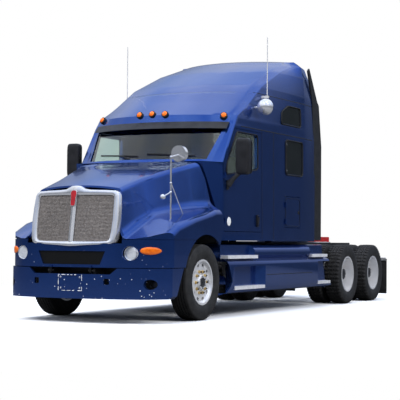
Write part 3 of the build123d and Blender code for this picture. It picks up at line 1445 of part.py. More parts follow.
with BuildPart() as fifth_wheel_plate:
    with BuildSketch(Plane.XY.offset(fifth_top_z - fifth_thickness)):
        with BuildLine():
            Polyline((-fifth_half, fifth_y - fifth_front + throat_half),
                     (-throat_half, fifth_y - fifth_front),
                     (throat_half, fifth_y - fifth_front), (fifth_half, fifth_y - fifth_front + throat_half),
                     (fifth_half, fifth_y + fifth_rear - throat_half), (throat_half + stand_wall,
                                                                        fifth_y + fifth_rear),
                     (throat_half, fifth_y + fifth_rear), (kingpin_bore_radius, fifth_y + throat_run / 2),
                     (kingpin_bore_radius, fifth_y), (-kingpin_bore_radius, fifth_y),
                     (-kingpin_bore_radius, fifth_y + throat_run / 2), (-throat_half, fifth_y + fifth_rear),
                     (-throat_half - stand_wall, fifth_y + fifth_rear),
                     (-fifth_half, fifth_y + fifth_rear - throat_half), close=True)
        make_face()
        with Locations((0, fifth_y)):
            Circle(kingpin_bore_radius, mode=Mode.SUBTRACT)
    extrude(amount=fifth_thickness)
    for side in (-1, 1):
        with BuildSketch(Plane.YZ.offset(side * (ear_x - ear_wall / 2) - ear_wall / 2)):
            with Locations((fifth_y, fifth_pivot_z)):
                Circle(2 * fifth_pin_radius)
            with Locations((fifth_y, (fifth_pivot_z + fifth_top_z - fifth_thickness) / 2)):
                Rectangle(4 * fifth_pin_radius, fifth_top_z - fifth_thickness - fifth_pivot_z)
            with Locations((fifth_y, fifth_pivot_z)):
                Circle(fifth_pin_radius + kingpin_gap, mode=Mode.SUBTRACT)
        extrude(amount=ear_wall)
save(fifth_wheel_plate.part, "fifth_wheel_plate")

# Mud flaps on their hangers, and tail lamps on the last cross member
flap_inner_x = 620.0
flap_low_z = 100.0
flap_thickness = 10.0
with BuildPart() as mud_flap:
    add(block((flap_inner_x, body_half), (flap_y - flap_thickness / 2, flap_y + flap_thickness / 2),
              (flap_low_z, hanger_z - hanger_radius)))
save(Compound(children=both_sides(mud_flap.part)), "mud_flaps")

tail_lamp_radius = 52.0
tail_lamp_places = [110.0, 250.0]
last_member_y = rail_front_y + cross_member_shares[-1] * rail_length + member_width
tail_lamps = []
for side in (-1, 1):
    for lamp_place in tail_lamp_places:
        tail_lamps.append(rod((side * lamp_place, last_member_y - member_width + rail_wall / 2,
                               member_mid_z),
                              (side * lamp_place, last_member_y, member_mid_z), tail_lamp_radius))
save(Compound(children=tail_lamps), "tail_lamps")
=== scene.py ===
import json
import random
from math import cos, pi, radians, sin

import bmesh
import bpy
import numpy as np
from mathutils import Matrix, Vector
from mathutils.bvhtree import BVHTree

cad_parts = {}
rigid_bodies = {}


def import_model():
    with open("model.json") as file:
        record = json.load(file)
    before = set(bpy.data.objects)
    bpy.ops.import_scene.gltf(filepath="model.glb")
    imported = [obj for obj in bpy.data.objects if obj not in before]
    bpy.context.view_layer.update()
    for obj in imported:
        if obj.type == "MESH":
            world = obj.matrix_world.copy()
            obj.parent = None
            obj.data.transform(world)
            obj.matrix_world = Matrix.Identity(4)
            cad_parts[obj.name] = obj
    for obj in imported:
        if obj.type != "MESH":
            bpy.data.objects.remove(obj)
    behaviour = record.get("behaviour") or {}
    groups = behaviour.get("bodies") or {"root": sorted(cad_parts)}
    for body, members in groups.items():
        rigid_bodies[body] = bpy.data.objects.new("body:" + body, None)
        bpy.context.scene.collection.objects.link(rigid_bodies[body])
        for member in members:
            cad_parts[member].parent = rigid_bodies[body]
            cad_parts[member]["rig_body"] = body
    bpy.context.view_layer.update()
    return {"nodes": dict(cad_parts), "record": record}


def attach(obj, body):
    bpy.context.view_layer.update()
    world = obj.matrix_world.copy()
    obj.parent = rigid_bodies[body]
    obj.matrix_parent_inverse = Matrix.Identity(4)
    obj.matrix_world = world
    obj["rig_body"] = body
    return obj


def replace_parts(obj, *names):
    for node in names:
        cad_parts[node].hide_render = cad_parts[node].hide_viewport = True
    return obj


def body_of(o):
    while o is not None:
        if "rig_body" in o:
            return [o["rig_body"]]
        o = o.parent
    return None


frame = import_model()
nodes = frame["nodes"]

# Camera: the photograph's place, direction and angle of view
CAMERA_PLACE = Vector((8.4446, -17.6729, 1.0389))
CAMERA_AZIMUTH = radians(26.727)
CAMERA_PITCH = radians(1.896)
CAMERA_ROLL = radians(0.471)
CAMERA_LENS_MM = 111.67
SENSOR_MM = 36.0

# Places shared with the solids, in metres
AXLE_Y = -3.12
DRIVE_AXLES = (AXLE_Y + 5.46, AXLE_Y + 6.78)
AXLE_Z = 0.5
CAB_Y, CAB_LENGTH, CAB_Z, CAB_HEIGHT = -2.85, 3.8, 1.05, 2.82
SIDES = {"left": 1, "right": -1}
FORWARD = (0, -1, 0)
SKIN = ("cab_shell", "sleeper_shell", "raised_roof", "roof_cap")
MESHES = ("grille_meshes",)
GRILLE = ("grille_surround", "grille_meshes")

# Where search rays start, beside the truck and ahead of it
FAR_SIDE = 3.0
FAR_AHEAD = 8.0

# Smooth shading, and how near to parallel a tube may run to its up direction
SMOOTH_ANGLE = radians(34)
MERGE_DISTANCE = 0.00005
PARALLEL = 1e-4

# Drift of colour and wear, and the clear coat's gloss
COLOUR_DRIFT = (0.32, 0.68)
WEAR_DRIFT = (0.3, 0.7)
WEAR_GRAIN = 3.1
COAT_ROUGHNESS = 0.04
REFRACTION = 1.45
PAINT_METALLIC = 0.88
CHIP_COLOUR = (0.85, 0.86, 0.9)

# Heights where the hood's foot and the meshes' foot turn dark
HOOD_SHADOW, HOOD_FOOT_Z = (0.01, 0.01, 0.01), (0.698, 0.702)
MESH_SHADOW, MESH_FOOT_Z = (0.012, 0.012, 0.012), (0.95, 0.96)


def look(tree, kind, **settings):
    """A new node with the given properties."""
    node = tree.nodes.new(kind)
    for name, value in settings.items():
        setattr(node, name, value)
    return node


def link(tree, source, target):
    tree.links.new(source, target)


def maths(tree, operation, *values):
    """Result of an operation over sockets and plain numbers."""
    node = look(tree, "ShaderNodeMath", operation=operation)
    for slot, value in zip(node.inputs, values):
        if isinstance(value, float):
            slot.default_value = value
        else:
            link(tree, value, slot)
    return node.outputs[0]


def object_coordinates(tree):
    """Coordinates fixed to the body that a piece rides on."""
    return look(tree, "ShaderNodeTexCoord").outputs["Object"]


def split_place(tree, place):
    """The X, Y and Z of a place."""
    split = look(tree, "ShaderNodeSeparateXYZ")
    link(tree, place, split.inputs["Vector"])
    return split.outputs


def mask_ramp(tree, value, low, high, low_value=0.0, high_value=1.0):
    """Value stretched from low..high to low_value..high_value, clamped."""
    node = look(tree, "ShaderNodeMapRange", clamp=True)
    for slot, end in zip(("From Min", "From Max", "To Min", "To Max"), (low, high, low_value, high_value)):
        node.inputs[slot].default_value = end
    link(tree, value, node.inputs["Value"])
    return node.outputs["Result"]


def mixed_colour(tree, factor, first, second):
    """Colour between two, each a socket or a plain colour."""
    mix = look(tree, "ShaderNodeMix", data_type="RGBA")
    link(tree, factor, mix.inputs["Factor"])
    for slot, colour in ((6, first), (7, second)):
        if isinstance(colour, tuple):
            mix.inputs[slot].default_value = (*colour, 1)
        else:
            link(tree, colour, mix.inputs[slot])
    return mix.outputs[2]


def noise(tree, place, scale, detail):
    """Soft noise from 0 to 1 over the places given."""
    texture = look(tree, "ShaderNodeTexNoise")
    texture.inputs["Scale"].default_value = scale
    texture.inputs["Detail"].default_value = detail
    link(tree, place, texture.inputs["Vector"])
    return texture.outputs["Fac"]


def finish(name, light, dark, grain, fine, metallic, rough, bump, coat=0.0, depth=0.001, specular=0.5,
           sheen=0.0, transmission=0.0):
    """A surface whose colour and roughness drift between two values, with a fine bump."""
    material = bpy.data.materials.new(name)
    material.use_nodes = True
    tree = material.node_tree
    shader = tree.nodes["Principled BSDF"]
    place = object_coordinates(tree)
    drift = mask_ramp(tree, noise(tree, place, grain, 4.0), *COLOUR_DRIFT)
    link(tree, mixed_colour(tree, drift, dark, light), shader.inputs["Base Color"])
    wear = noise(tree, place, grain * WEAR_GRAIN, 5.0)
    link(tree, mask_ramp(tree, wear, *WEAR_DRIFT, *rough), shader.inputs["Roughness"])
    for slot, value in (("Metallic", metallic), ("Coat Weight", coat), ("Coat Roughness", COAT_ROUGHNESS),
                        ("Specular IOR Level", specular), ("Sheen Weight", sheen),
                        ("Transmission Weight", transmission), ("IOR", REFRACTION)):
        shader.inputs[slot].default_value = value
    relief = look(tree, "ShaderNodeBump")
    relief.inputs["Strength"].default_value = bump
    relief.inputs["Distance"].default_value = depth
    link(tree, noise(tree, place, fine, 2.0), relief.inputs["Height"])
    link(tree, relief.outputs["Normal"], shader.inputs["Normal"])
    return material


def band_mask(material, low, high, colour):
    """Below the height low the base colour is the given one, and above high the material's own."""
    tree = material.node_tree
    shader = tree.nodes["Principled BSDF"]
    own = shader.inputs["Base Color"].links[0].from_socket
    mask = mask_ramp(tree, split_place(tree, object_coordinates(tree))["Z"], low, high)
    link(tree, mixed_colour(tree, mask, colour, own), shader.inputs["Base Color"])
    return material


def blue_paint(name):
    """Deep metallic blue under clear coat, with stone chips low on the nose."""
    material = finish(name, (0.032, 0.1, 0.385), (0.025, 0.082, 0.33), 1.1, 900.0, PAINT_METALLIC,
                      (0.17, 0.22), 0.0015, coat=0.55, depth=0.0002)
    tree = material.node_tree
    shader = tree.nodes["Principled BSDF"]
    paint = shader.inputs["Base Color"].links[0].from_socket
    place = object_coordinates(tree)
    cells = look(tree, "ShaderNodeTexVoronoi")
    cells.inputs["Scale"].default_value = 17.0
    link(tree, place, cells.inputs["Vector"])
    specks = mask_ramp(tree, cells.outputs["Distance"], 0.09, 0.16, 1.0, 0.0)
    patches = mask_ramp(tree, noise(tree, place, 4.6, 2.0), 0.46, 0.54)
    parts = split_place(tree, place)
    low = mask_ramp(tree, parts["Z"], 0.62, 0.95, 1.0, 0.0)
    ahead = mask_ramp(tree, parts["Y"], -4.3, -4.0, 1.0, 0.0)
    chips = specks
    for other in (patches, low, ahead):
        chips = maths(tree, "MULTIPLY", chips, other)
    link(tree, mixed_colour(tree, chips, paint, CHIP_COLOUR), shader.inputs["Base Color"])
    link(tree, maths(tree, "MULTIPLY_ADD", chips, -PAINT_METALLIC, PAINT_METALLIC), shader.inputs["Metallic"])
    return material


# Name, light and dark colour, grain and fine grain, metallic, roughness from and to, bump, and the rest
FINISHES = (
    ("chassis_black", (0.022, 0.022, 0.023), (0.012, 0.012, 0.012), 5, 160, 0, (0.42, 0.6), 0.15, {}),
    ("engine_grey", (0.16, 0.16, 0.17), (0.07, 0.07, 0.07), 8, 120, 0.3, (0.5, 0.7), 0.25, {}),
    ("radiator_metal", (0.12, 0.12, 0.12), (0.06, 0.06, 0.06), 30, 400, 0.8, (0.4, 0.6), 0.4, {}),
    ("bare_steel", (0.11, 0.1, 0.1), (0.05, 0.045, 0.04), 14, 200, 0.8, (0.4, 0.6), 0.2, {}),
    ("polished_aluminium", (0.93, 0.92, 0.92), (0.8, 0.8, 0.81), 7, 300, 0.48, (0.14, 0.26), 0.03, {}),
    ("chrome_trim", (0.93, 0.93, 0.95), (0.84, 0.85, 0.88), 4, 300, 0.78, (0.04, 0.09), 0.01, {}),
    ("grille_mesh", (0.46, 0.41, 0.37), (0.26, 0.23, 0.205), 40, 700, 0.55, (0.35, 0.5), 0.3, {}),
    ("lamp_glass", (0.97, 0.98, 1), (0.74, 0.77, 0.82), 34, 60, 0.35, (0.08, 0.2), 0.25,
     {"coat": 1, "depth": 0.004}),
    ("amber_lens", (0.92, 0.19, 0.008), (0.74, 0.12, 0.005), 30, 150, 0, (0.12, 0.2), 0.2, {"coat": 0.5}),
    ("red_lens", (0.6, 0.02, 0.015), (0.35, 0.01, 0.01), 30, 150, 0, (0.12, 0.2), 0.2, {"coat": 0.5}),
    ("black_plastic", (0.018, 0.018, 0.02), (0.01, 0.01, 0.011), 9, 500, 0, (0.35, 0.5), 0.2, {}),
    ("window_glass", (0.78, 0.86, 0.84), (0.74, 0.83, 0.81), 2, 2, 0, (0, 0.01), 0, {"transmission": 1}),
    ("side_glass", (0.5, 0.62, 0.57), (0.46, 0.58, 0.53), 2, 2, 0, (0, 0.01), 0, {"transmission": 1}),
    ("dark_glass", (0.012, 0.014, 0.014), (0.008, 0.01, 0.01), 3, 3, 0, (0.03, 0.06), 0.01,
     {"specular": 0.8}),
    ("black_rubber", (0.02, 0.02, 0.02), (0.012, 0.012, 0.012), 10, 260, 0, (0.55, 0.75), 0.3, {}),
    ("interior_plastic", (0.15, 0.145, 0.14), (0.1, 0.098, 0.095), 7, 420, 0, (0.5, 0.65), 0.3, {}),
    ("seat_fabric", (0.16, 0.16, 0.18), (0.09, 0.09, 0.1), 60, 900, 0, (0.8, 0.95), 0.6, {"sheen": 0.4}),
    ("bunk_fabric", (0.3, 0.29, 0.28), (0.2, 0.19, 0.18), 50, 900, 0, (0.8, 0.95), 0.6, {"sheen": 0.4}),
    ("red_box", (0.62, 0.02, 0.018), (0.5, 0.015, 0.014), 9, 300, 0, (0.15, 0.25), 0.05, {"coat": 0.8}),
    ("plate_steel", (0.1, 0.095, 0.09), (0.04, 0.038, 0.036), 9, 150, 0.9, (0.3, 0.55), 0.2, {}),
    ("brass_nut", (0.8, 0.58, 0.24), (0.62, 0.42, 0.16), 30, 300, 1, (0.2, 0.32), 0.05, {}),
    ("hub_black", (0.05, 0.05, 0.055), (0.02, 0.02, 0.022), 30, 300, 0.3, (0.25, 0.4), 0.08, {"coat": 0.3}),
    ("red_plaque", (0.42, 0.006, 0.012), (0.32, 0.004, 0.008), 12, 200, 0, (0.12, 0.2), 0.02, {"coat": 0.8}),
    ("white_sheet", (0.86, 0.86, 0.85), (0.78, 0.78, 0.77), 12, 200, 0, (0.4, 0.6), 0.05, {}),
    ("mirror_glass", (0.86, 0.88, 0.9), (0.8, 0.82, 0.85), 3, 20, 1, (0.01, 0.03), 0, {}),
    ("step_metal", (0.84, 0.84, 0.85), (0.68, 0.68, 0.7), 14, 120, 0.15, (0.3, 0.5), 0.3, {}),
    ("tyre_rubber", (0.03, 0.029, 0.028), (0.017, 0.0165, 0.016), 12, 300, 0, (0.55, 0.75), 0.35, {}),
)
MATERIALS = {row[0]: finish(*row[:-1], **row[-1]) for row in FINISHES}
MATERIALS["blue_paint"] = blue_paint("blue_paint")
MATERIALS["hood_paint"] = band_mask(blue_paint("hood_paint"), *HOOD_FOOT_Z, HOOD_SHADOW)
band_mask(MATERIALS["grille_mesh"], *MESH_FOOT_Z, MESH_SHADOW)

# Solids whose look isn't the plain one of their slot
OWN_FINISH = {"hood_shell": "hood_paint", "turn_signals": "blue_paint", "step_treads": "step_metal",
              "antennas": "polished_aluminium"}
SLOTS = {row["node"]: row["material_slot"] for row in frame["record"]["subparts"]}


def smoothing_group():
    """Geometry nodes that join split corners and shade smooth below an angle."""
    group = bpy.data.node_groups.new("smooth_by_angle", "GeometryNodeTree")
    for way in ("INPUT", "OUTPUT"):
        group.interface.new_socket("Geometry", in_out=way, socket_type="NodeSocketGeometry")
    enter = look(group, "NodeGroupInput")
    leave = look(group, "NodeGroupOutput")
    merge = look(group, "GeometryNodeMergeByDistance")
    merge.inputs["Distance"].default_value = MERGE_DISTANCE
    strip = look(group, "GeometryNodeRemoveAttribute")
    strip.inputs["Name"].default_value = "custom_normal"
    faces = look(group, "GeometryNodeSetShadeSmooth")
    edges = look(group, "GeometryNodeSetShadeSmooth", domain="EDGE")
    edges.inputs["Shade Smooth"].default_value = False
    angle = look(group, "GeometryNodeInputMeshEdgeAngle")
    sharp = look(group, "FunctionNodeCompare", data_type="FLOAT", operation="GREATER_THAN")
    sharp.inputs[1].default_value = SMOOTH_ANGLE
    link(group, angle.outputs["Unsigned Angle"], sharp.inputs[0])
    link(group, sharp.outputs["Result"], edges.inputs["Selection"])
    chain = (enter, merge, strip, faces, edges, leave)
    for one, other in zip(chain, chain[1:]):
        link(group, one.outputs["Geometry"], other.inputs["Geometry"])
    return group


SMOOTHING = smoothing_group()


def smooth(item):
    item.modifiers.new("smooth", "NODES").node_group = SMOOTHING


def shown(name, data):
    """A new object in the scene."""
    item = bpy.data.objects.new(name, data)
    bpy.context.scene.collection.objects.link(item)
    return item


def dress_nodes():
    """Every solid gets its slot's finish and smooth shading."""
    for name, node in nodes.items():
        node.data.materials.clear()
        node.data.materials.append(MATERIALS[OWN_FINISH.get(name, SLOTS[name])])
        smooth(node)


def piece(name, verts, faces, finish_name, body):
    """A mesh piece with its finish, riding on a body."""
    mesh = bpy.data.meshes.new(name)
    mesh.from_pydata([tuple(v) for v in verts], [], faces)
    mesh.validate()
    mesh.update()
    made = bmesh.new()
    made.from_mesh(mesh)
    bmesh.ops.recalc_face_normals(made, faces=made.faces)
    made.to_mesh(mesh)
    made.free()
    mesh.materials.append(MATERIALS[finish_name])
    item = shown(name, mesh)
    smooth(item)
    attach(item, body)
    return item


def turns(count, shift=0.0):
    """Angles spread evenly round a circle."""
    return [2 * pi * (k + shift) / count for k in range(count)]


def bands(rings, steps, closed=False):
    """Faces between neighbouring rings of steps points each."""
    faces = []
    for i in range(rings if closed else rings - 1):
        here, there = i * steps, (i + 1) % rings * steps
        for k in range(steps):
            after = (k + 1) % steps
            faces.append((here + k, here + after, there + after, there + k))
    return faces


def caps(rings, steps):
    """Faces that close the first and the last ring."""
    return [tuple(reversed(range(steps))), tuple(range((rings - 1) * steps, rings * steps))]


class Form:
    """Vertices and faces gathered from several simple shapes."""

    def __init__(self):
        self.verts = []
        self.faces = []

    def add(self, verts, faces):
        start = len(self.verts)
        self.verts += [Vector(v) for v in verts]
        self.faces += [tuple(start + i for i in face) for face in faces]
        return self

    def add_rings(self, verts, rings, closed=False):
        """Rings of points joined by faces, as a closed loop or with capped ends."""
        steps = len(verts) // rings
        return self.add(verts, bands(rings, steps, closed) + ([] if closed else caps(rings, steps)))

    def add_mesh(self, made):
        """Take over what a bmesh holds, and free it."""
        made.verts.index_update()
        self.add([v.co.copy() for v in made.verts], [tuple(v.index for v in f.verts) for f in made.faces])
        made.free()
        return self

    def make(self, name, finish_name, body):
        return piece(name, self.verts, self.faces, finish_name, body)

    def mirrored(self):
        other = Form()
        other.verts = [Vector((-v.x, v.y, v.z)) for v in self.verts]
        other.faces = [tuple(reversed(face)) for face in self.faces]
        return other

    def tube(self, points, radius, steps=10, squash=(1, 1), up=(0, 0, 1), closed=False):
        """Tube along points; squash scales its section across and along up."""
        points = [Vector(p) for p in points]
        count = len(points)
        radii = radius if isinstance(radius, (list, tuple)) else [radius] * count
        verts = []
        for i, point in enumerate(points):
            before = points[i - 1] if i or closed else point
            after = points[(i + 1) % count] if i < count - 1 or closed else point
            along = (after - before).normalized()
            across = along.cross(Vector(up))
            if across.length < PARALLEL:
                across = along.cross(Vector((1, 0, 0)))
            across.normalize()
            rise = across.cross(along)
            for turn in turns(steps):
                out = squash[0] * cos(turn) * across + squash[1] * sin(turn) * rise
                verts.append(point + radii[i] * out)
        return self.add_rings(verts, count, closed)

    def turned(self, centre, axis, profile, steps=32, closed=False):
        """Profile of (distance along the axis, radius) points, turned round the axis."""
        centre, axis = Vector(centre), Vector(axis).normalized()
        first = axis.orthogonal().normalized()
        second = axis.cross(first)
        verts = [centre + axis * along + r * (cos(turn) * first + sin(turn) * second)
                 for along, r in profile for turn in turns(steps)]
        return self.add_rings(verts, len(profile), closed)

    def plate(self, outline, thickness, edge=0.0):
        """Flat outline of points, given thickness along its normal, with a chamfered front edge."""
        outline = [Vector(p) for p in outline]
        normal = Vector((0, 0, 0))
        middle = sum(outline, Vector((0, 0, 0))) / len(outline)
        for a, b in zip(outline, outline[1:] + outline[:1]):
            normal += (a - middle).cross(b - middle)
        normal.normalize()
        levels = [(0.0, 0.0), (thickness - edge, 0.0)]
        if edge:
            levels.append((thickness, edge))
        verts = [p + normal * height + (middle - p).normalized() * inset
                 for height, inset in levels for p in outline]
        return self.add_rings(verts, len(levels))

    def box(self, low, high, edge=0.004):
        """Box with chamfered edges."""
        low, high = Vector(low), Vector(high)
        size, centre = high - low, (high + low) / 2
        made = bmesh.new()
        bmesh.ops.create_cube(made, size=1.0)
        for v in made.verts:
            v.co = v.co * size + centre
        reach = min(edge, min(size) * 0.45)
        bmesh.ops.bevel(made, geom=made.edges[:], offset=reach, segments=2, affect="EDGES", profile=0.5)
        return self.add_mesh(made)


def rounded(points, radius, steps=5):
    """Closed 2-D outline with its corners rounded."""
    points = [Vector(p) for p in points]
    result = []
    for i, here in enumerate(points):
        back, ahead = points[i - 1] - here, points[(i + 1) % len(points)] - here
        reach = min(radius, back.length * 0.45, ahead.length * 0.45)
        start, end = here + back.normalized() * reach, here + ahead.normalized() * reach
        for k in range(steps + 1):
            t = k / steps
            result.append((1 - t) ** 2 * start + 2 * t * (1 - t) * here + t * t * end)
    return result


def rounded_square():
    """Outline of the square from -1 to 1 with rounded corners."""
    return rounded([(-1, -1), (1, -1), (1, 1), (-1, 1)], 0.25, 6)


def dense(points, gap=0.06):
    """The same closed outline with points at most gap apart."""
    result = []
    for a, b in zip(points, points[1:] + points[:1]):
        parts = max(1, int((b - a).length / gap) + 1)
        result += [a + (b - a) * k / parts for k in range(parts)]
    return result


def grown(points, amount):
    """Outline moved out from its middle by amount on each axis."""
    middle = sum(points, Vector((0, 0))) / len(points)
    arms = [p - middle for p in points]
    wide = 1 + amount / max(abs(arm.x) for arm in arms)
    high = 1 + amount / max(abs(arm.y) for arm in arms)
    return [middle + Vector((arm.x * wide, arm.y * high)) for arm in arms]


def cab_outline(shares):
    """Outline of (y, z) points given as shares of the cab's length and height."""
    return [Vector((CAB_Y + a * CAB_LENGTH, CAB_Z + b * CAB_HEIGHT)) for a, b in shares]


TREES = {}


def tree_of(*names):
    """Search tree over the meshes of the named solids."""
    if names not in TREES:
        verts, faces = [], []
        for name in names:
            mesh = nodes[name].data
            start = len(verts)
            verts += [v.co.copy() for v in mesh.vertices]
            faces += [tuple(start + i for i in p.vertices) for p in mesh.polygons]
        TREES[names] = BVHTree.FromPolygons(verts, faces)
    return TREES[names]


def hit(names, start, towards, out):
    """Where a ray meets the named solids, out metres back along it, or None."""
    place = tree_of(*names).ray_cast(Vector(start), Vector(towards))[0]
    return None if place is None else place - Vector(towards) * out


def side_hit(names, y, z, side=1, out=0.0):
    """Point on the outer side of the named solids, out metres proud of it."""
    return hit(names, (side * FAR_SIDE, y, z), (-side, 0, 0), out)


def front_hit(names, x, z, out=0.0):
    """Point on the front of the named solids, out metres ahead of it."""
    return hit(names, (x, -FAR_AHEAD, z), (0, 1, 0), out)


def side_hits(names, outline, side, out):
    """Outline of (y, z) points laid on the side of the named solids."""
    return [p for p in (side_hit(names, y, z, side, out) for y, z in outline) if p]


def front_hits(names, outline, out=0.0):
    """Outline of (x, z) points laid on the front of the named solids."""
    return [p for p in (front_hit(names, x, z, out) for x, z in outline) if p]


def nodes_body(name):
    """The body that a solid rides on."""
    body = body_of(nodes[name])
    return body[0] if body else "chassis"


# Tyres: half width, radius, and for the rear tread how deep the gaps cut there
TYRE_WALL = ((0.111, 0.286), (0.111, 0.3), (0.1195, 0.311), (0.1232, 0.325), (0.1305, 0.342),
             (0.1362, 0.36), (0.1388, 0.378), (0.14, 0.4), (0.1388, 0.424), (0.1345, 0.448))
FRONT_TREAD = ((0.13, 0.468), (0.126, 0.4825), (0.119, 0.4915), (0.11, 0.4955), (0.084, 0.4972),
               (0.082, 0.484), (0.074, 0.484), (0.072, 0.498), (0.046, 0.4988), (0.044, 0.485),
               (0.036, 0.485), (0.034, 0.4994), (0.006, 0.5), (0.004, 0.486), (0.0, 0.486))
REAR_TREAD = ((0.1315, 0.462, 0), (0.1295, 0.474, 0.8), (0.1275, 0.4825, 1), (0.12, 0.4915, 1),
              (0.11, 0.4955, 1), (0.078, 0.4975, 1), (0.076, 0.482, 0), (0.066, 0.482, 0),
              (0.064, 0.4985, 0.5), (0.036, 0.499, 0.5), (0.034, 0.484, 0), (0.026, 0.484, 0),
              (0.024, 0.4996, 0.7), (0.0, 0.5, 0.7))
FRONT_TYRE_X = (1.0485,)
REAR_TYRE_X = (1.075, 0.735)
PLAIN_STEPS = 112
LUGS, LUG_STEPS, LUG_DEPTH, LUG_LEAN = 46, 4, 0.017, 0.35


def tyre_ring(x, y, radius, cut, lugged):
    """Points of a tyre's surface at one width, lower in the gaps between lugs."""
    ring = []
    steps = LUGS * LUG_STEPS if lugged else PLAIN_STEPS
    for k in range(steps):
        gap = lugged and k % LUG_STEPS >= LUG_STEPS // 2
        r = radius - LUG_DEPTH * cut if gap else radius
        turn = 2 * pi * (k + (LUG_LEAN if lugged and k % 2 else 0.0)) / steps
        ring.append(Vector((x, y + r * sin(turn), AXLE_Z - r * cos(turn))))
    return ring


def make_tyres():
    """Tyres with grooved ribs in front and lugs at the shoulders behind."""
    wall = [(*row, 0) for row in TYRE_WALL]
    front = wall + [(*row, 0) for row in FRONT_TREAD]
    rear = wall + list(REAR_TREAD)
    for side_name, side in SIDES.items():
        tyres = [(f"tyre_front_{side_name}", FRONT_TYRE_X, AXLE_Y, f"front_wheel_{side_name}", front, False)]
        for i, y in enumerate(DRIVE_AXLES, 1):
            body = f"rear_wheels_{i}_{side_name}"
            tyres.append((f"tyres_rear_{i}_{side_name}", REAR_TYRE_X, y, body, rear, True))
        for name, centres, y, body, half, lugged in tyres:
            rows = half + [(-x, r, cut) for x, r, cut in reversed(half[:-1])]
            form = Form()
            for centre in centres:
                verts = []
                for x, r, cut in rows:
                    verts += tyre_ring(side * centre + x, y, r, cut, lugged)
                form.add_rings(verts, len(rows), closed=True)
            made = form.make(f"{name}_tread", "tyre_rubber", body)
            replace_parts(made, name)


# Wheel fittings: profiles of distance along the axle and radius
NUT = ((0.0, 0.023), (0.005, 0.023), (0.006, 0.019), (0.026, 0.0185), (0.03, 0.014))
STUD = ((0.02, 0.01), (0.038, 0.01), (0.041, 0.008))
NUT_COUNT, NUT_CIRCLE = 10, 0.143
SHIELD_X = 1.1045
SHIELD = ((0.0, 0.199), (0.004, 0.199), (0.004, 0.256), (0.0, 0.256))
FRONT_CAP = ((-0.004, 0.066), (0.006, 0.064), (0.008, 0.052), (0.003, 0.048), (0.003, 0.012),
             (0.009, 0.01), (0.01, 0.004))
FRONT_BOLT = ((-0.004, 0.009), (0.006, 0.0085), (0.008, 0.006))
REAR_CAP = ((-0.004, 0.088), (0.006, 0.087), (0.009, 0.08), (0.009, 0.05), (0.02, 0.046), (0.024, 0.036))
REAR_BOLT = ((0.006, 0.01), (0.016, 0.0095), (0.018, 0.007))

# Hubs: the disc face's x, the cap's x and profile, and its bolts' number, circle and profile
FRONT_HUB = (1.1325, 1.165, FRONT_CAP, 6, 0.077, FRONT_BOLT)
REAR_HUB = (0.927, 1.115, REAR_CAP, 8, 0.068, REAR_BOLT)


def wheel_circle(x, y, radius, count, shift=0.0):
    """Places on a circle round a wheel's axle."""
    return [(x, y + radius * sin(turn), AXLE_Z + radius * cos(turn)) for turn in turns(count, shift)]


def make_wheel_details():
    """Nuts and studs on every wheel disc, hub caps with their bolts, and the front brake shields."""
    for side_name, side in SIDES.items():
        outward = (side, 0, 0)
        wheels = [("front", AXLE_Y, f"front_wheel_{side_name}", FRONT_HUB)]
        for i, y in enumerate(DRIVE_AXLES, 1):
            wheels.append((f"rear_{i}", y, f"rear_wheels_{i}_{side_name}", REAR_HUB))
        for label, y, body, hub in wheels:
            face_x, cap_x, cap_profile, bolts, bolt_circle, bolt_profile = hub
            nuts, studs = Form(), Form()
            for spot in wheel_circle(side * face_x, y, NUT_CIRCLE, NUT_COUNT, 0.5):
                nuts.turned(spot, outward, NUT, 6)
                studs.turned(spot, outward, STUD, 10)
            nuts.make(f"lug_nuts_{label}_{side_name}", "brass_nut", body)
            studs.make(f"lug_studs_{label}_{side_name}", "bare_steel", body)
            if label == "front":
                shield = Form().turned((side * SHIELD_X, y, AXLE_Z), outward, SHIELD, 48, closed=True)
                shield.make(f"brake_shield_{side_name}", "hub_black", body)
            cap = Form().turned((side * cap_x, y, AXLE_Z), outward, cap_profile, 40)
            for spot in wheel_circle(side * cap_x, y, bolt_circle, bolts):
                cap.turned(spot, outward, bolt_profile, 6)
            cap.make(f"hub_cap_{label}_{side_name}", "hub_black", body)


# Windows: outlines in shares of the cab, and the screws' inset and profile
DOOR_GLASS = cab_outline([(0.125, 0.325), (0.128, 0.37), (0.213, 0.535), (0.39, 0.535), (0.391, 0.365)])
SLEEPER_WINDOW = cab_outline([(0.668, 0.362), (0.834, 0.362), (0.834, 0.539), (0.668, 0.539)])
UPPER_WINDOW = cab_outline([(0.626, 0.631), (0.816, 0.631), (0.816, 0.727), (0.7, 0.727), (0.636, 0.69)])
FIXED_WINDOWS = (("sleeper_window", SLEEPER_WINDOW, 0.06), ("upper_window", UPPER_WINDOW, 0.05))
SCREW = ((0.0, 0.013), (0.004, 0.012), (0.006, 0.008))
SCREW_INSET, SCREW_ASIDE = 0.05, 0.03


def make_door_glass(side_name, side):
    """A door's pane in its rubber."""
    door, outward = f"door_{side_name}", Vector((side, 0, 0))
    points = side_hits((door,), dense(grown(rounded(DOOR_GLASS, 0.05), 0.012)), side, 0.0)
    rubber = Form().tube(points, 0.018, 8, (0.5, 1.0), outward, closed=True)
    rubber.make(f"door_glass_rubber_{side_name}", "black_rubber", door)
    pane = Form().plate([p - outward * 0.012 for p in points], 0.006)
    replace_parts(pane.make(f"door_pane_{side_name}", "side_glass", door), f"door_glass_{side_name}")


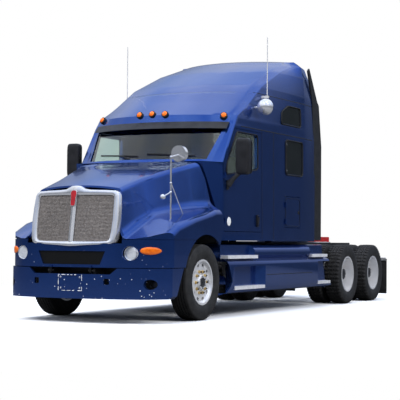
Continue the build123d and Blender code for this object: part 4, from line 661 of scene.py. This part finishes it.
def make_window_trim():
    """Panes set in rubber at each side window, and the sleeper windows' screws."""
    panes = Form()
    for side_name, side in SIDES.items():
        outward = Vector((side, 0, 0))
        make_door_glass(side_name, side)
        for label, outline, radius in FIXED_WINDOWS:
            points = side_hits(SKIN, dense(grown(rounded(outline, radius), 0.014)), side, 0.003)
            trim = Form().tube(points, 0.017, 8, (0.6, 1.0), outward, closed=True)
            trim.make(f"{label}_rubber_{side_name}", "black_rubber", "chassis")
            panes.plate([p - outward * 0.008 for p in points], 0.005)
        screws = Form()
        low, high = SLEEPER_WINDOW[0], SLEEPER_WINDOW[2]
        for y in (low.x + SCREW_INSET, high.x - SCREW_INSET):
            for z in (low.y + SCREW_INSET, high.y - SCREW_INSET):
                skin = side_hit(SKIN, low.x - SCREW_ASIDE, z, side, -0.005)
                screws.turned((skin.x, y, z), outward, SCREW, 14)
        screws.make(f"sleeper_window_screws_{side_name}", "chrome_trim", "chassis")
    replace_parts(panes.make("sleeper_panes", "dark_glass", "chassis"), "sleeper_glass")


# Seams, drawn as dark strips that paint the shade in the panel gaps: y or z, from and to with a number of
# points, and half width
UPRIGHT_SEAMS = ((-0.77, (1.07, 2.65, 22), 0.006), (-1.19, (1.07, 2.65, 22), 0.004))
LEVEL_SEAMS = ((2.657, (-1.9, 0.8, 40), 0.006), (3.2, (-1.3, 0.8, 30), 0.005))
PANEL_SEAM = (0.56, (-1.1, 0.68, 24), 0.005)
SEAM_LIFT = 0.0005


def make_seams():
    """Dark strips along the joints of the cab's panels: painted shade where the gaps between the panels fall
    into shadow.
    """
    for side_name, side in SIDES.items():
        outward = (side, 0, 0)
        strips = Form()
        lines = [([(y, z) for z in np.linspace(*span)], half) for y, span, half in UPRIGHT_SEAMS]
        lines += [([(y, z) for y in np.linspace(*span)], half) for z, span, half in LEVEL_SEAMS]
        for line, half in lines:
            strips.tube(side_hits(SKIN, line, side, SEAM_LIFT), half, 6, (1.0, 0.35), outward)
        # dark strips over the cab's panel joints, painted shade standing in for the shadow in their gaps
        strips.make(f"cab_seam_shadows_{side_name}", "black_rubber", "chassis")
        z, span, half = PANEL_SEAM
        line = side_hits(("side_panels",), [(y, z) for y in np.linspace(*span)], side, SEAM_LIFT)
        panel = Form().tube(line, half, 6, (1.0, 0.4), outward)
        # dark strip along the side panel's joint, painted shade standing in for the shadow in its gap
        panel.make(f"side_panel_seam_shadow_{side_name}", "black_rubber", "chassis")


# Door handle: out of its x, y, z and radius along the grip, then its base and lock
HANDLE_X = 1.183
HANDLE_GRIP = ((0.0, -1.39, 1.262, 0.014), (0.004, -1.388, 1.3, 0.019), (0.004, -1.375, 1.38, 0.019),
               (0.0, -1.372, 1.412, 0.013))
BASE_X, BASE_LOW, BASE_HIGH = (HANDLE_X - 0.025, HANDLE_X - 0.002), (-1.41, 1.25), (-1.338, 1.42)
LOCK_PLACE = (HANDLE_X - 0.001, -1.352, 1.3)
LOCK = ((-0.002, 0.012), (0.002, 0.012), (0.003, 0.008))

# Luggage door's seal and latch
LUGGAGE_OPENING = cab_outline([(0.658, 0.071), (0.82, 0.071), (0.82, 0.241), (0.658, 0.241)])
LATCH_PLACE = (0.19, 1.49)
LATCH = ((-0.001, 0.03), (0.003, 0.029), (0.004, 0.024), (0.002, 0.012), (0.004, 0.01))

# Round sticker low on the left door
STICKER_PLACE = (-2.313, 1.31)
STICKER = ((-0.002, 0.06), (0.0015, 0.06), (0.002, 0.058))


def make_handles():
    """Door handles, luggage door seals and latches, and the round sticker."""
    for side_name, side in SIDES.items():
        outward = (side, 0, 0)
        door, luggage = f"door_{side_name}", f"luggage_door_{side_name}"
        grip = [(side * (HANDLE_X + out), y, z) for out, y, z, _ in HANDLE_GRIP]
        handle = Form().tube(grip, [row[3] for row in HANDLE_GRIP], 10, (1.2, 0.6), outward)
        low, high = sorted(side * x for x in BASE_X)
        handle.box((low, *BASE_LOW), (high, *BASE_HIGH), 0.006)
        lock_x, lock_y, lock_z = LOCK_PLACE
        handle.turned((side * lock_x, lock_y, lock_z), outward, LOCK, 16)
        handle.make(f"door_handle_{side_name}", "black_plastic", door)
        rim = side_hits((luggage,), dense(grown(rounded(LUGGAGE_OPENING, 0.07), -0.03)), side, 0.0003)
        seal = Form().tube(rim, 0.005, 6, (0.5, 1.0), outward, closed=True)
        seal.make(f"luggage_seal_{side_name}", "black_rubber", luggage)
        latch = Form().turned(side_hit((luggage,), *LATCH_PLACE, side), outward, LATCH, 24)
        latch.make(f"luggage_latch_{side_name}", "black_plastic", luggage)
    sticker = Form().turned(side_hit(("door_left",), *STICKER_PLACE), (1, 0, 0), STICKER, 32)
    sticker.make("door_sticker", "white_sheet", "door_left")


# Badge: half its outline in shares of its half width and half height, and its ends on the grille
BADGE_HALF = [(0.0, -1.0), (0.5, -0.97), (0.72, -0.88), (0.78, -0.6), (0.8, 0.0), (0.9, 0.3),
              (1.0, 0.5), (0.98, 0.72), (0.82, 0.9), (0.45, 0.99), (0.0, 1.0)]
BADGE_OUTLINE = BADGE_HALF + [(-a, b) for a, b in reversed(BADGE_HALF[1:-1])]
BADGE_ENDS = ((0.0, 1.47), (0.0, 1.665))
BADGE_WIDTH = 0.040

# Grille wires, lamp rings and fog lamp cups
WIRE_RADIUS, WIRE_START, WIRE_GAP, WIRE_COUNT = 0.0022, 0.045, 0.0172, 30
RING_PLACE = (0.794, -4.366, 0.878)
RING = ((-0.012, 0.0905), (0.006, 0.0905), (0.01, 0.086), (0.006, 0.08), (-0.012, 0.08))
CUP_PLACE = (1.02, -4.17, 0.495)
CUP = ((0.0, 0.058), (0.018, 0.058), (0.018, 0.052), (0.004, 0.044), (0.012, 0.022), (0.014, 0.004))

# Number plate recess: its bolts and its edge
BOLT_SPOTS = ((-0.14, 0.44), (-0.14, 0.575), (0.14, 0.44), (0.14, 0.575))
PLATE_BOLT = ((0.0, 0.012), (0.004, 0.012), (0.007, 0.008))
PLATE_EDGE = ((-0.172, 0.408), (0.172, 0.408), (0.172, 0.605), (-0.172, 0.605))


def badge_plate(grow, out, thick):
    """The badge's outline grown by grow and out metres ahead of the grille, as a plate."""
    low, high = front_hits(GRILLE, BADGE_ENDS)
    outline = []
    for a, b in BADGE_OUTLINE:
        spot = low.lerp(high, 0.5 + b * (0.5 + grow / (high - low).length))
        outline.append((a * (BADGE_WIDTH + grow), spot.y - out, spot.z))
    return Form().plate(outline, thick, 0.002)


def grille_wires(side):
    """Crossed wires over one grille mesh."""
    lines = []
    for k in range(WIRE_COUNT):
        x = side * (WIRE_START + k * WIRE_GAP)
        lines.append(front_hits(MESHES, [(x, z) for z in np.linspace(1.02, 1.62, 40)], 0.002))
    for z in np.linspace(1.03, 1.61, 35):
        lines.append(front_hits(MESHES, [(side * x, z) for x in np.linspace(0.03, 0.56, 40)], 0.004))
    wires = Form()
    for line in lines:
        if len(line) > 2:
            wires.tube([line[0], line[-1]], WIRE_RADIUS, 4)
    return wires


def make_plate_recess():
    """The number plate recess's bolts, and its edge with the paint chipped off."""
    bolts = Form()
    for spot in front_hits(("bumper",), BOLT_SPOTS):
        bolts.turned(spot, FORWARD, PLATE_BOLT, 12)
    bolts.make("plate_bolts", "chrome_trim", "chassis")
    chips = Form()
    edge = dense([Vector(place) for place in PLATE_EDGE], 0.028)
    chance = random.Random(7)
    for pair in zip(edge, edge[1:] + edge[:1]):
        ends = front_hits(("bumper",), pair, 0.001)
        if len(ends) == 2 and chance.random() > 0.35:
            chips.tube(ends, chance.uniform(0.003, 0.006), 6)
    chips.make("plate_edge_chips", "white_sheet", "chassis")


def make_front_details():
    """Badge, grille wires, lamp rings, fog lamp cups and the plate recess."""
    badge_plate(0.006, 0.0, 0.008).make("badge_frame", "chrome_trim", "hood")
    badge_plate(0.0, 0.006, 0.006).make("badge_plaque", "red_plaque", "hood")
    for side_name, side in SIDES.items():
        grille_wires(side).make(f"grille_wires_{side_name}", "grille_mesh", "hood")
        x, y, z = RING_PLACE
        ring = Form().turned((side * x, y, z), FORWARD, RING, 48, closed=True)
        ring.make(f"headlamp_ring_{side_name}", "chrome_trim", "hood")
        x, y, z = CUP_PLACE
        cup = Form().turned((side * x, y, z), FORWARD, CUP)
        cup.make(f"fog_cup_{side_name}", "black_plastic", "chassis")
    make_plate_recess()


# Closing panel, and the marker lamps with y behind the front axle
BACKING = ((-0.96, -4.25, 0.6), (0.96, -4.23, 0.735))
LAMP_SPOTS = ((0.0, 0.69, 2.82), (0.203, 0.695, 2.814), (-0.203, 0.695, 2.814), (0.985, 0.976, 2.793),
              (-0.985, 0.976, 2.793))
LAMP_BASE = ((0.0, 0.05), (0.052, 0.05), (0.058, 0.044))
LAMP_DOME = ((0.0, 0.038), (0.012, 0.036), (0.022, 0.024), (0.027, 0.004))


def make_front_backing():
    """A dark panel between bumper and hood, and domes on the marker lamps."""
    Form().box(*BACKING).make("bumper_backing", "black_plastic", "chassis")
    bases, domes = Form(), Form()
    for x, y, z in LAMP_SPOTS:
        spot = Vector((x, AXLE_Y + y, z))
        out = Vector((0.35 * x, -1.0, 0.45)).normalized()
        bases.turned(spot - out * 0.05, out, LAMP_BASE, 24)
        domes.turned(spot, out, LAMP_DOME, 24)
    bases.make("marker_lamp_bases", "black_rubber", "chassis")
    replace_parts(domes.make("marker_lamp_domes", "amber_lens", "chassis"), "marker_lamps")


# Wipers: name, pivot's x, and x of the blade's inner and outer end
WIPERS = (("left", 0.62, 0.1, 0.78), ("right", -0.18, -0.72, -0.04))
BLADE_Z, BLADE_DROP, PIVOT_Z = 2.235, 0.03, 2.17
PIVOT_CAP = ((-0.02, 0.02), (0.006, 0.018), (0.012, 0.01))


def make_wipers():
    """Wiper blades on the windshield, with their arms."""
    for label, pivot, inner, outer in WIPERS:
        line = [(inner + (outer - inner) * t, BLADE_Z - BLADE_DROP * t) for t in np.linspace(0, 1, 12)]
        blade = front_hits(("windshield",), line, 0.012)
        wiper = Form().tube(blade, 0.008, 6, (1.0, 1.4))
        foot = front_hit(("windshield", "cab_shell", "hood_shell"), pivot, PIVOT_Z, 0.014)
        middle = blade[len(blade) // 2]
        bend = foot.lerp(middle, 0.5) + Vector((0, -0.012, 0.004))
        wiper.tube([foot, bend, middle + Vector((0, -0.008, 0))], [0.012, 0.009, 0.007], 8)
        wiper.turned(foot, (0, -1, 0.4), PIVOT_CAP, 14)
        wiper.make(f"wiper_{label}", "black_plastic", "chassis")


# Cushions: squareness of the corners, how far the sewn channels sink, and the seam's inset
SQUARENESS = 7.0
CHANNEL_DEPTH = 0.010
CROWN_INSET = 0.004


def crowned(low, high, steps=14, crown=0.012, channels=0, pull=0.012):
    """Cushion form: rounded block with a crowned front, sides drawn in between corners, and sewn channels."""
    low, high = Vector(low), Vector(high)
    centre, half = (low + high) / 2, (high - low) / 2
    made = bmesh.new()
    bmesh.ops.create_cube(made, size=2.0)
    bmesh.ops.subdivide_edges(made, edges=made.edges[:], cuts=steps, use_grid_fill=True)
    thin = min(range(3), key=lambda i: half[i])
    wide = [i for i in range(3) if i != thin]
    for v in made.verts:
        norm = sum(abs(a) ** SQUARENESS for a in v.co) ** (1 / SQUARENESS)
        u = v.co * (max(abs(a) for a in v.co) / norm)
        flat = (1 - u[wide[0]] ** 2) * (1 - u[wide[1]] ** 2)
        place = list(u)
        place[thin] *= 1 - (crown + CROWN_INSET) / half[thin] + crown / half[thin] * flat
        if channels:
            wave = abs(cos(pi * channels * (u.x + 1) / 2))
            sewn = CHANNEL_DEPTH / half[thin] * (1 - wave) ** 6 * min(1, flat * 4)
            place[thin] -= sewn if u[thin] > 0 else -sewn
        for i, other in (wide, wide[::-1]):
            place[i] *= 1 - pull / half[i] * (1 - u[other] ** 2)
        v.co = Vector([centre[i] + half[i] * place[i] for i in range(3)])
    return Form().add_mesh(made)


# Seats: half width, low and high (y, z) and edge of the bases, then the soft parts and their piping
SEAT_X, SEAT_HALF = 0.56, 0.25
SEAT_BASES = ((0.15, (-1.485, 1.1), (-1.135, 1.415), 0.02), (0.2, (-1.53, 1.4), (-1.09, 1.435), 0.01))
SEAT_SOFT = (("cushion", (-1.56, 1.43), (-1.06, 1.57)), ("back", (-1.19, 1.572), (-1.06, 2.29)))
PIPING_HALF, PIPING_Y, PIPING_Z = 0.236, -1.31, 1.558
BUNK_BASE = ((-1.066, -0.068, 1.1), (1.066, 0.888, 1.6))
MATTRESS = ((-1.06, -0.065, 1.6), (1.06, 0.885, 1.76))


def make_soft():
    """Seat cushions and the bunk's mattress, with piping, over their plain bases."""
    bases = Form()
    for side_name, side in SIDES.items():
        centre = side * SEAT_X
        for half, low, high, edge in SEAT_BASES:
            bases.box((centre - half, *low), (centre + half, *high), edge)
        for label, low, high in SEAT_SOFT:
            form = crowned((centre - SEAT_HALF, *low), (centre + SEAT_HALF, *high), channels=5)
            form.make(f"seat_{label}_{side_name}", "seat_fabric", "chassis")
        seam = [(centre + a * PIPING_HALF, PIPING_Y + b * PIPING_HALF, PIPING_Z) for a, b in rounded_square()]
        piping = Form().tube(seam, 0.005, 6, closed=True)
        piping.make(f"seat_piping_{side_name}", "interior_plastic", "chassis")
    stand = bases.make("seat_bases", "interior_plastic", "chassis")
    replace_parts(stand, "seats")
    box = Form().box(*BUNK_BASE, 0.015).make("bunk_base", "interior_plastic", "chassis")
    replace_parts(box, "bunk")
    mattress = crowned(*MATTRESS, steps=22, channels=6).make("bunk_mattress", "bunk_fabric", "chassis")


# Dashboard: hood over the gauges, centre panel, paper, and the vents' lowest bar
GAUGE_HOOD = ((0.28, -2.42, 2.0), (0.78, -2.2, 2.06))
CENTRE_PANEL = ((-0.22, -2.16, 1.66), (0.22, -2.125, 1.96))
SHEET = ((-0.62, -2.4, 2.0105), (-0.35, -2.2, 2.0125))
VENT_X, VENT_HALF, VENT_BARS, VENT_GAP = (-0.9, -0.45, 0.9), 0.06, 5, 0.014
VENT_Y, VENT_Z = (-2.142, -2.132), (1.86, 1.868)


def make_cab_details():
    """Gauge hood, centre panel, vents and the sheet of paper on the dashboard."""
    dash = Form().box(*GAUGE_HOOD, 0.025).box(*CENTRE_PANEL, 0.012)
    dash.make("gauge_hood", "interior_plastic", "chassis")
    vents = Form()
    for x in VENT_X:
        for k in range(VENT_BARS):
            low, high = (z + VENT_GAP * k for z in VENT_Z)
            vents.box((x - VENT_HALF, VENT_Y[0], low), (x + VENT_HALF, VENT_Y[1], high), 0.002)
    vents.make("dash_vents", "black_plastic", "chassis")
    Form().box(*SHEET, 0.0005).make("dash_sheet", "white_sheet", "chassis")


# Flap hangers' x, low and high (y, z), and the door mirrors' glass
HANGER_X, HANGER_LOW, HANGER_HIGH = (0.64, 1.19), (4.395, 0.706), (4.405, 0.762)
GLASS_X, GLASS_Z, GLASS_HALF, GLASS_RISE = 1.369, 2.2, 0.098, 0.235


def make_rear_details():
    """Plated flap hangers at the tail, and the glass of the door mirrors."""
    for side_name, side in SIDES.items():
        low, high = sorted(side * x for x in HANGER_X)
        hanger = Form().box((low, *HANGER_LOW), (high, *HANGER_HIGH), 0.003)
        hanger.make(f"flap_hanger_{side_name}", "chrome_trim", "chassis")
    for side_name, side in SIDES.items():
        name = f"door_mirror_{side_name}"
        x = side * GLASS_X
        y = hit((name,), (x, 0.0, GLASS_Z + 0.1), FORWARD, 0.0).y
        outline = [(x + a * GLASS_HALF, y, GLASS_Z + b * GLASS_RISE) for a, b in rounded_square()]
        glass = Form().plate(outline, 0.003)
        glass.make(f"mirror_glass_{side_name}", "mirror_glass", nodes_body(name))


# Grille surround: where its face lies, and half of it from crest to foot as outer and inner (x, z)
GRILLE_NOSE_Y, GRILLE_SWEEP, GRILLE_TILT = -4.53, 0.097, 0.156
SURROUND = (
    (0.0, 1.726, 0.0, 1.6), (0.055, 1.722, 0.055, 1.6), (0.1, 1.7, 0.1, 1.602),
    (0.135, 1.682, 0.135, 1.603), (0.22, 1.674, 0.22, 1.603), (0.42, 1.668, 0.42, 1.602),
    (0.555, 1.66, 0.52, 1.6), (0.598, 1.64, 0.541, 1.59), (0.618, 1.6, 0.548, 1.565),
    (0.634, 1.45, 0.55, 1.45), (0.64, 1.3, 0.552, 1.3), (0.636, 1.16, 0.546, 1.16),
    (0.618, 1.05, 0.534, 1.07), (0.598, 1.01, 0.522, 1.044), (0.56, 0.995, 0.495, 1.032),
    (0.42, 0.985, 0.4, 1.028), (0.2, 0.975, 0.2, 1.026), (0.08, 0.966, 0.08, 1.026),
    (0.0, 0.962, 0.0, 1.026))

# Its section from outer to inner edge as share and lift, and the middle bar's as x and lift
SURROUND_SECTION = ((0.02, -0.078), (-0.02, -0.05), (0.0, 0.006), (0.06, 0.016), (0.35, 0.022),
                    (0.72, 0.019), (0.93, 0.01), (1.0, -0.002), (1.0, -0.02))
BAR_SECTION = ((-0.036, -0.012), (-0.034, 0.004), (-0.012, 0.014), (0.0, 0.02), (0.012, 0.014),
               (0.034, 0.004), (0.036, -0.012))
BAR_LEVELS = np.linspace(1.015, 1.612, 8)


def surround_place(x, z, lift):
    """Place lift metres ahead of a face just behind the front of the solid surround."""
    return x, GRILLE_NOSE_Y + GRILLE_SWEEP * abs(x) + GRILLE_TILT * (z - 1.0) + 0.024 - lift, z


def make_surround():
    """Chromed grille surround with rounded corners, a crest over the badge and a ridged middle bar."""
    loop = list(SURROUND) + [(-a, b, -c, d) for a, b, c, d in reversed(SURROUND[1:-1])]
    verts = []
    for outer_x, outer_z, inner_x, inner_z in loop:
        for share, lift in SURROUND_SECTION:
            x = outer_x + (inner_x - outer_x) * share
            z = outer_z + (inner_z - outer_z) * share
            verts.append(surround_place(x, z, lift))
    form = Form().add_rings(verts, len(loop), closed=True)
    bar = []
    for z in BAR_LEVELS:
        for x, lift in BAR_SECTION:
            bar.append((x, surround_place(0, z, lift)[1], z))
    form.add_rings(bar, len(BAR_LEVELS))
    made = form.make("grille_surround_chrome", "chrome_trim", "hood")
    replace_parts(made, "grille_surround")


# Left door mirror's head, arm and foot, and the look-down mirror on the roof
MIRROR_HEAD = ((1.262, -2.361, 1.95), (1.462, -2.237, 2.45))
MIRROR_ARM = ((1.165, -2.376, 1.81), (1.24, -2.345, 1.9), (1.335, -2.32, 1.99))
MIRROR_FOOT = ((1.165, -2.376, 1.745), (1.165, -2.376, 1.875))
BOWL_PLACE, FACE_PLACE = (1.28, -1.375, 2.972), (1.28, -1.372, 2.972)
BOWL_RADIUS, BOWL_POINTS = 0.1195, 9
BOWL_FACE = ((-0.004, BOWL_RADIUS), (0.002, BOWL_RADIUS), (0.003, 0.112), (0.009, 0.06), (0.011, 0.004))


def make_mirrors():
    """Door mirrors with rounded heads on their brackets, and the chromed look-down bowl."""
    for side_name, side in SIDES.items():
        name = f"door_mirror_{side_name}"
        head = crowned(*MIRROR_HEAD, steps=10, crown=0.0, pull=0.0)
        head.tube(MIRROR_ARM, [0.055, 0.032, 0.028], 10, (1.0, 0.5), (0, 1, 0))
        head.tube(MIRROR_FOOT, 0.022)
        form = head if side > 0 else head.mirrored()
        made = form.make(f"door_mirror_head_{side_name}", "black_plastic", nodes_body(name))
        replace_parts(made, name)
    bowl = [(BOWL_RADIUS * sin(turn), max(BOWL_RADIUS * cos(turn), 0.002))
            for turn in np.linspace(0, pi / 2, BOWL_POINTS)]
    cover = Form().turned(BOWL_PLACE, FORWARD, bowl)
    cover.make("roof_mirror_bowl", "chrome_trim", "chassis")
    face = Form().turned(FACE_PLACE, (0, 1, 0), BOWL_FACE)
    face.make("roof_mirror_face", "mirror_glass", "chassis")


# Turn signal lens: middle, half width and rise, and rings as share of its size and lift
LENS_X, LENS_Z, LENS_HALF, LENS_RISE = 1.002, 0.911, 0.098, 0.048
LENS_RINGS = ((1.0, 0.001), (0.97, 0.008), (0.85, 0.013), (0.6, 0.017), (0.3, 0.018))
LENS_STEPS = 36


def make_signals():
    """Oval amber lenses over the painted signal panels."""
    for side_name, side in SIDES.items():
        verts = []
        for share, lift in LENS_RINGS:
            for turn in turns(LENS_STEPS):
                x = side * (LENS_X + LENS_HALF * share * cos(turn))
                z = LENS_Z + LENS_RISE * share * sin(turn)
                spot = front_hit(("turn_signals", "hood_shell"), x, z)
                verts.append(spot + Vector((side * 0.35 * lift, -0.9 * lift, 0)))
        lens = Form().add_rings(verts, len(LENS_RINGS))
        lens.make(f"signal_lens_{side_name}", "amber_lens", "hood")


def make_camera():
    """The camera, where the photograph was taken from."""
    level = Vector((cos(CAMERA_AZIMUTH), sin(CAMERA_AZIMUTH), 0))
    ahead = Vector((-sin(CAMERA_AZIMUTH), cos(CAMERA_AZIMUTH), 0))
    forward = ahead * cos(CAMERA_PITCH) + Vector((0, 0, sin(CAMERA_PITCH)))
    across = level * cos(CAMERA_ROLL) + level.cross(forward) * sin(CAMERA_ROLL)
    up = across.cross(forward)
    data = bpy.data.cameras.new("camera")
    data.lens = CAMERA_LENS_MM
    data.sensor_width = SENSOR_MM
    camera = shown("camera", data)
    camera.matrix_world = Matrix((
        (across.x, up.x, -forward.x, CAMERA_PLACE.x), (across.y, up.y, -forward.y, CAMERA_PLACE.y),
        (across.z, up.z, -forward.z, CAMERA_PLACE.z), (0, 0, 0, 1)))
    bpy.context.scene.camera = camera


# Colours of sky and floor, and how far out the floor fades to white
WHITE = (1.0, 1.0, 1.0)
SKY_BLUE, CLOUD, TREE_LINE = (0.42, 0.58, 0.95), (1.15, 1.18, 1.25), (0.045, 0.055, 0.07)
FLOOR_GREY = (0.13, 0.13, 0.13)
FLOOR_HALF, FLOOR_FADE = 60.0, (5.5, 10.0)


def make_sky():
    """White to the camera, and a clouded sky over a dark tree line to all that reflects it."""
    world = bpy.data.worlds.new("sky")
    bpy.context.scene.world = world
    world.use_nodes = True
    tree = world.node_tree
    path = look(tree, "ShaderNodeLightPath")
    seen = maths(tree, "MAXIMUM", path.outputs["Is Camera Ray"], path.outputs["Is Transmission Ray"])
    place = look(tree, "ShaderNodeTexCoord").outputs["Generated"]
    clouds = noise(tree, place, 2.6, 4.0)
    air = mixed_colour(tree, mask_ramp(tree, clouds, 0.4, 0.62), SKY_BLUE, CLOUD)
    edge = maths(tree, "MULTIPLY_ADD", clouds, -0.5, split_place(tree, place)["Z"])
    sky = mixed_colour(tree, mask_ramp(tree, edge, -0.16, 0.34), TREE_LINE, air)
    link(tree, mixed_colour(tree, seen, sky, WHITE), tree.nodes["Background"].inputs["Color"])


def make_floor():
    """A floor that is grey to reflections, white to the camera, and fades away from the truck."""
    mesh = bpy.data.meshes.new("floor")
    h = FLOOR_HALF
    mesh.from_pydata([(-h, -h, 0), (h, -h, 0), (h, h, 0), (-h, h, 0)], [], [(0, 1, 2, 3)])
    floor = shown("floor", mesh)
    material = bpy.data.materials.new("floor")
    material.use_nodes = True
    tree = material.node_tree
    shader = tree.nodes["Principled BSDF"]
    seen = look(tree, "ShaderNodeLightPath").outputs["Is Camera Ray"]
    link(tree, mixed_colour(tree, seen, FLOOR_GREY, WHITE), shader.inputs["Base Color"])
    shader.inputs["Roughness"].default_value = 0.9
    shader.inputs["Specular IOR Level"].default_value = 0.1
    reach = look(tree, "ShaderNodeVectorMath", operation="LENGTH")
    link(tree, object_coordinates(tree), reach.inputs[0])
    far = mask_ramp(tree, reach.outputs["Value"], *FLOOR_FADE)
    glow = look(tree, "ShaderNodeEmission")
    glow.inputs["Color"].default_value = (*WHITE, 1)
    join = look(tree, "ShaderNodeMixShader")
    link(tree, maths(tree, "MULTIPLY", far, seen), join.inputs[0])
    link(tree, shader.outputs[0], join.inputs[1])
    link(tree, glow.outputs[0], join.inputs[2])
    link(tree, join.outputs[0], tree.nodes["Material Output"].inputs["Surface"])
    mesh.materials.append(material)


# Lamps: name, place, what it faces, size, and power in watts
LAMPS = (("key", (-5.0, -13.0, 13.0), (0, -1.0, 1.5), (8.0, 8.0), 2300.0),
         ("fill", (13.0, -6.0, 10.0), (0, 0.0, 1.5), (8.0, 6.0), 1700.0),
         ("top", (0.0, 0.0, 13.0), (0, 0, 0), (10.0, 12.0), 1200.0))


def make_lamps():
    """Soft rectangular lamps that don't show in reflections."""
    for name, place, target, size, power in LAMPS:
        data = bpy.data.lights.new(name, "AREA")
        data.shape = "RECTANGLE"
        data.size, data.size_y = size
        data.energy = power
        lamp = shown(name, data)
        lamp.location = place
        lamp.rotation_mode = "QUATERNION"
        lamp.rotation_quaternion = (Vector(target) - Vector(place)).to_track_quat("-Z", "Y")
        lamp.visible_glossy = False


dress_nodes()
make_tyres()
make_wheel_details()
make_window_trim()
make_seams()
make_handles()
make_front_details()
make_front_backing()
make_wipers()
make_soft()
make_cab_details()
make_rear_details()
make_surround()
make_mirrors()
make_signals()
make_camera()
make_sky()
make_floor()
make_lamps()
scene = bpy.context.scene
scene.view_settings.view_transform = "Standard"
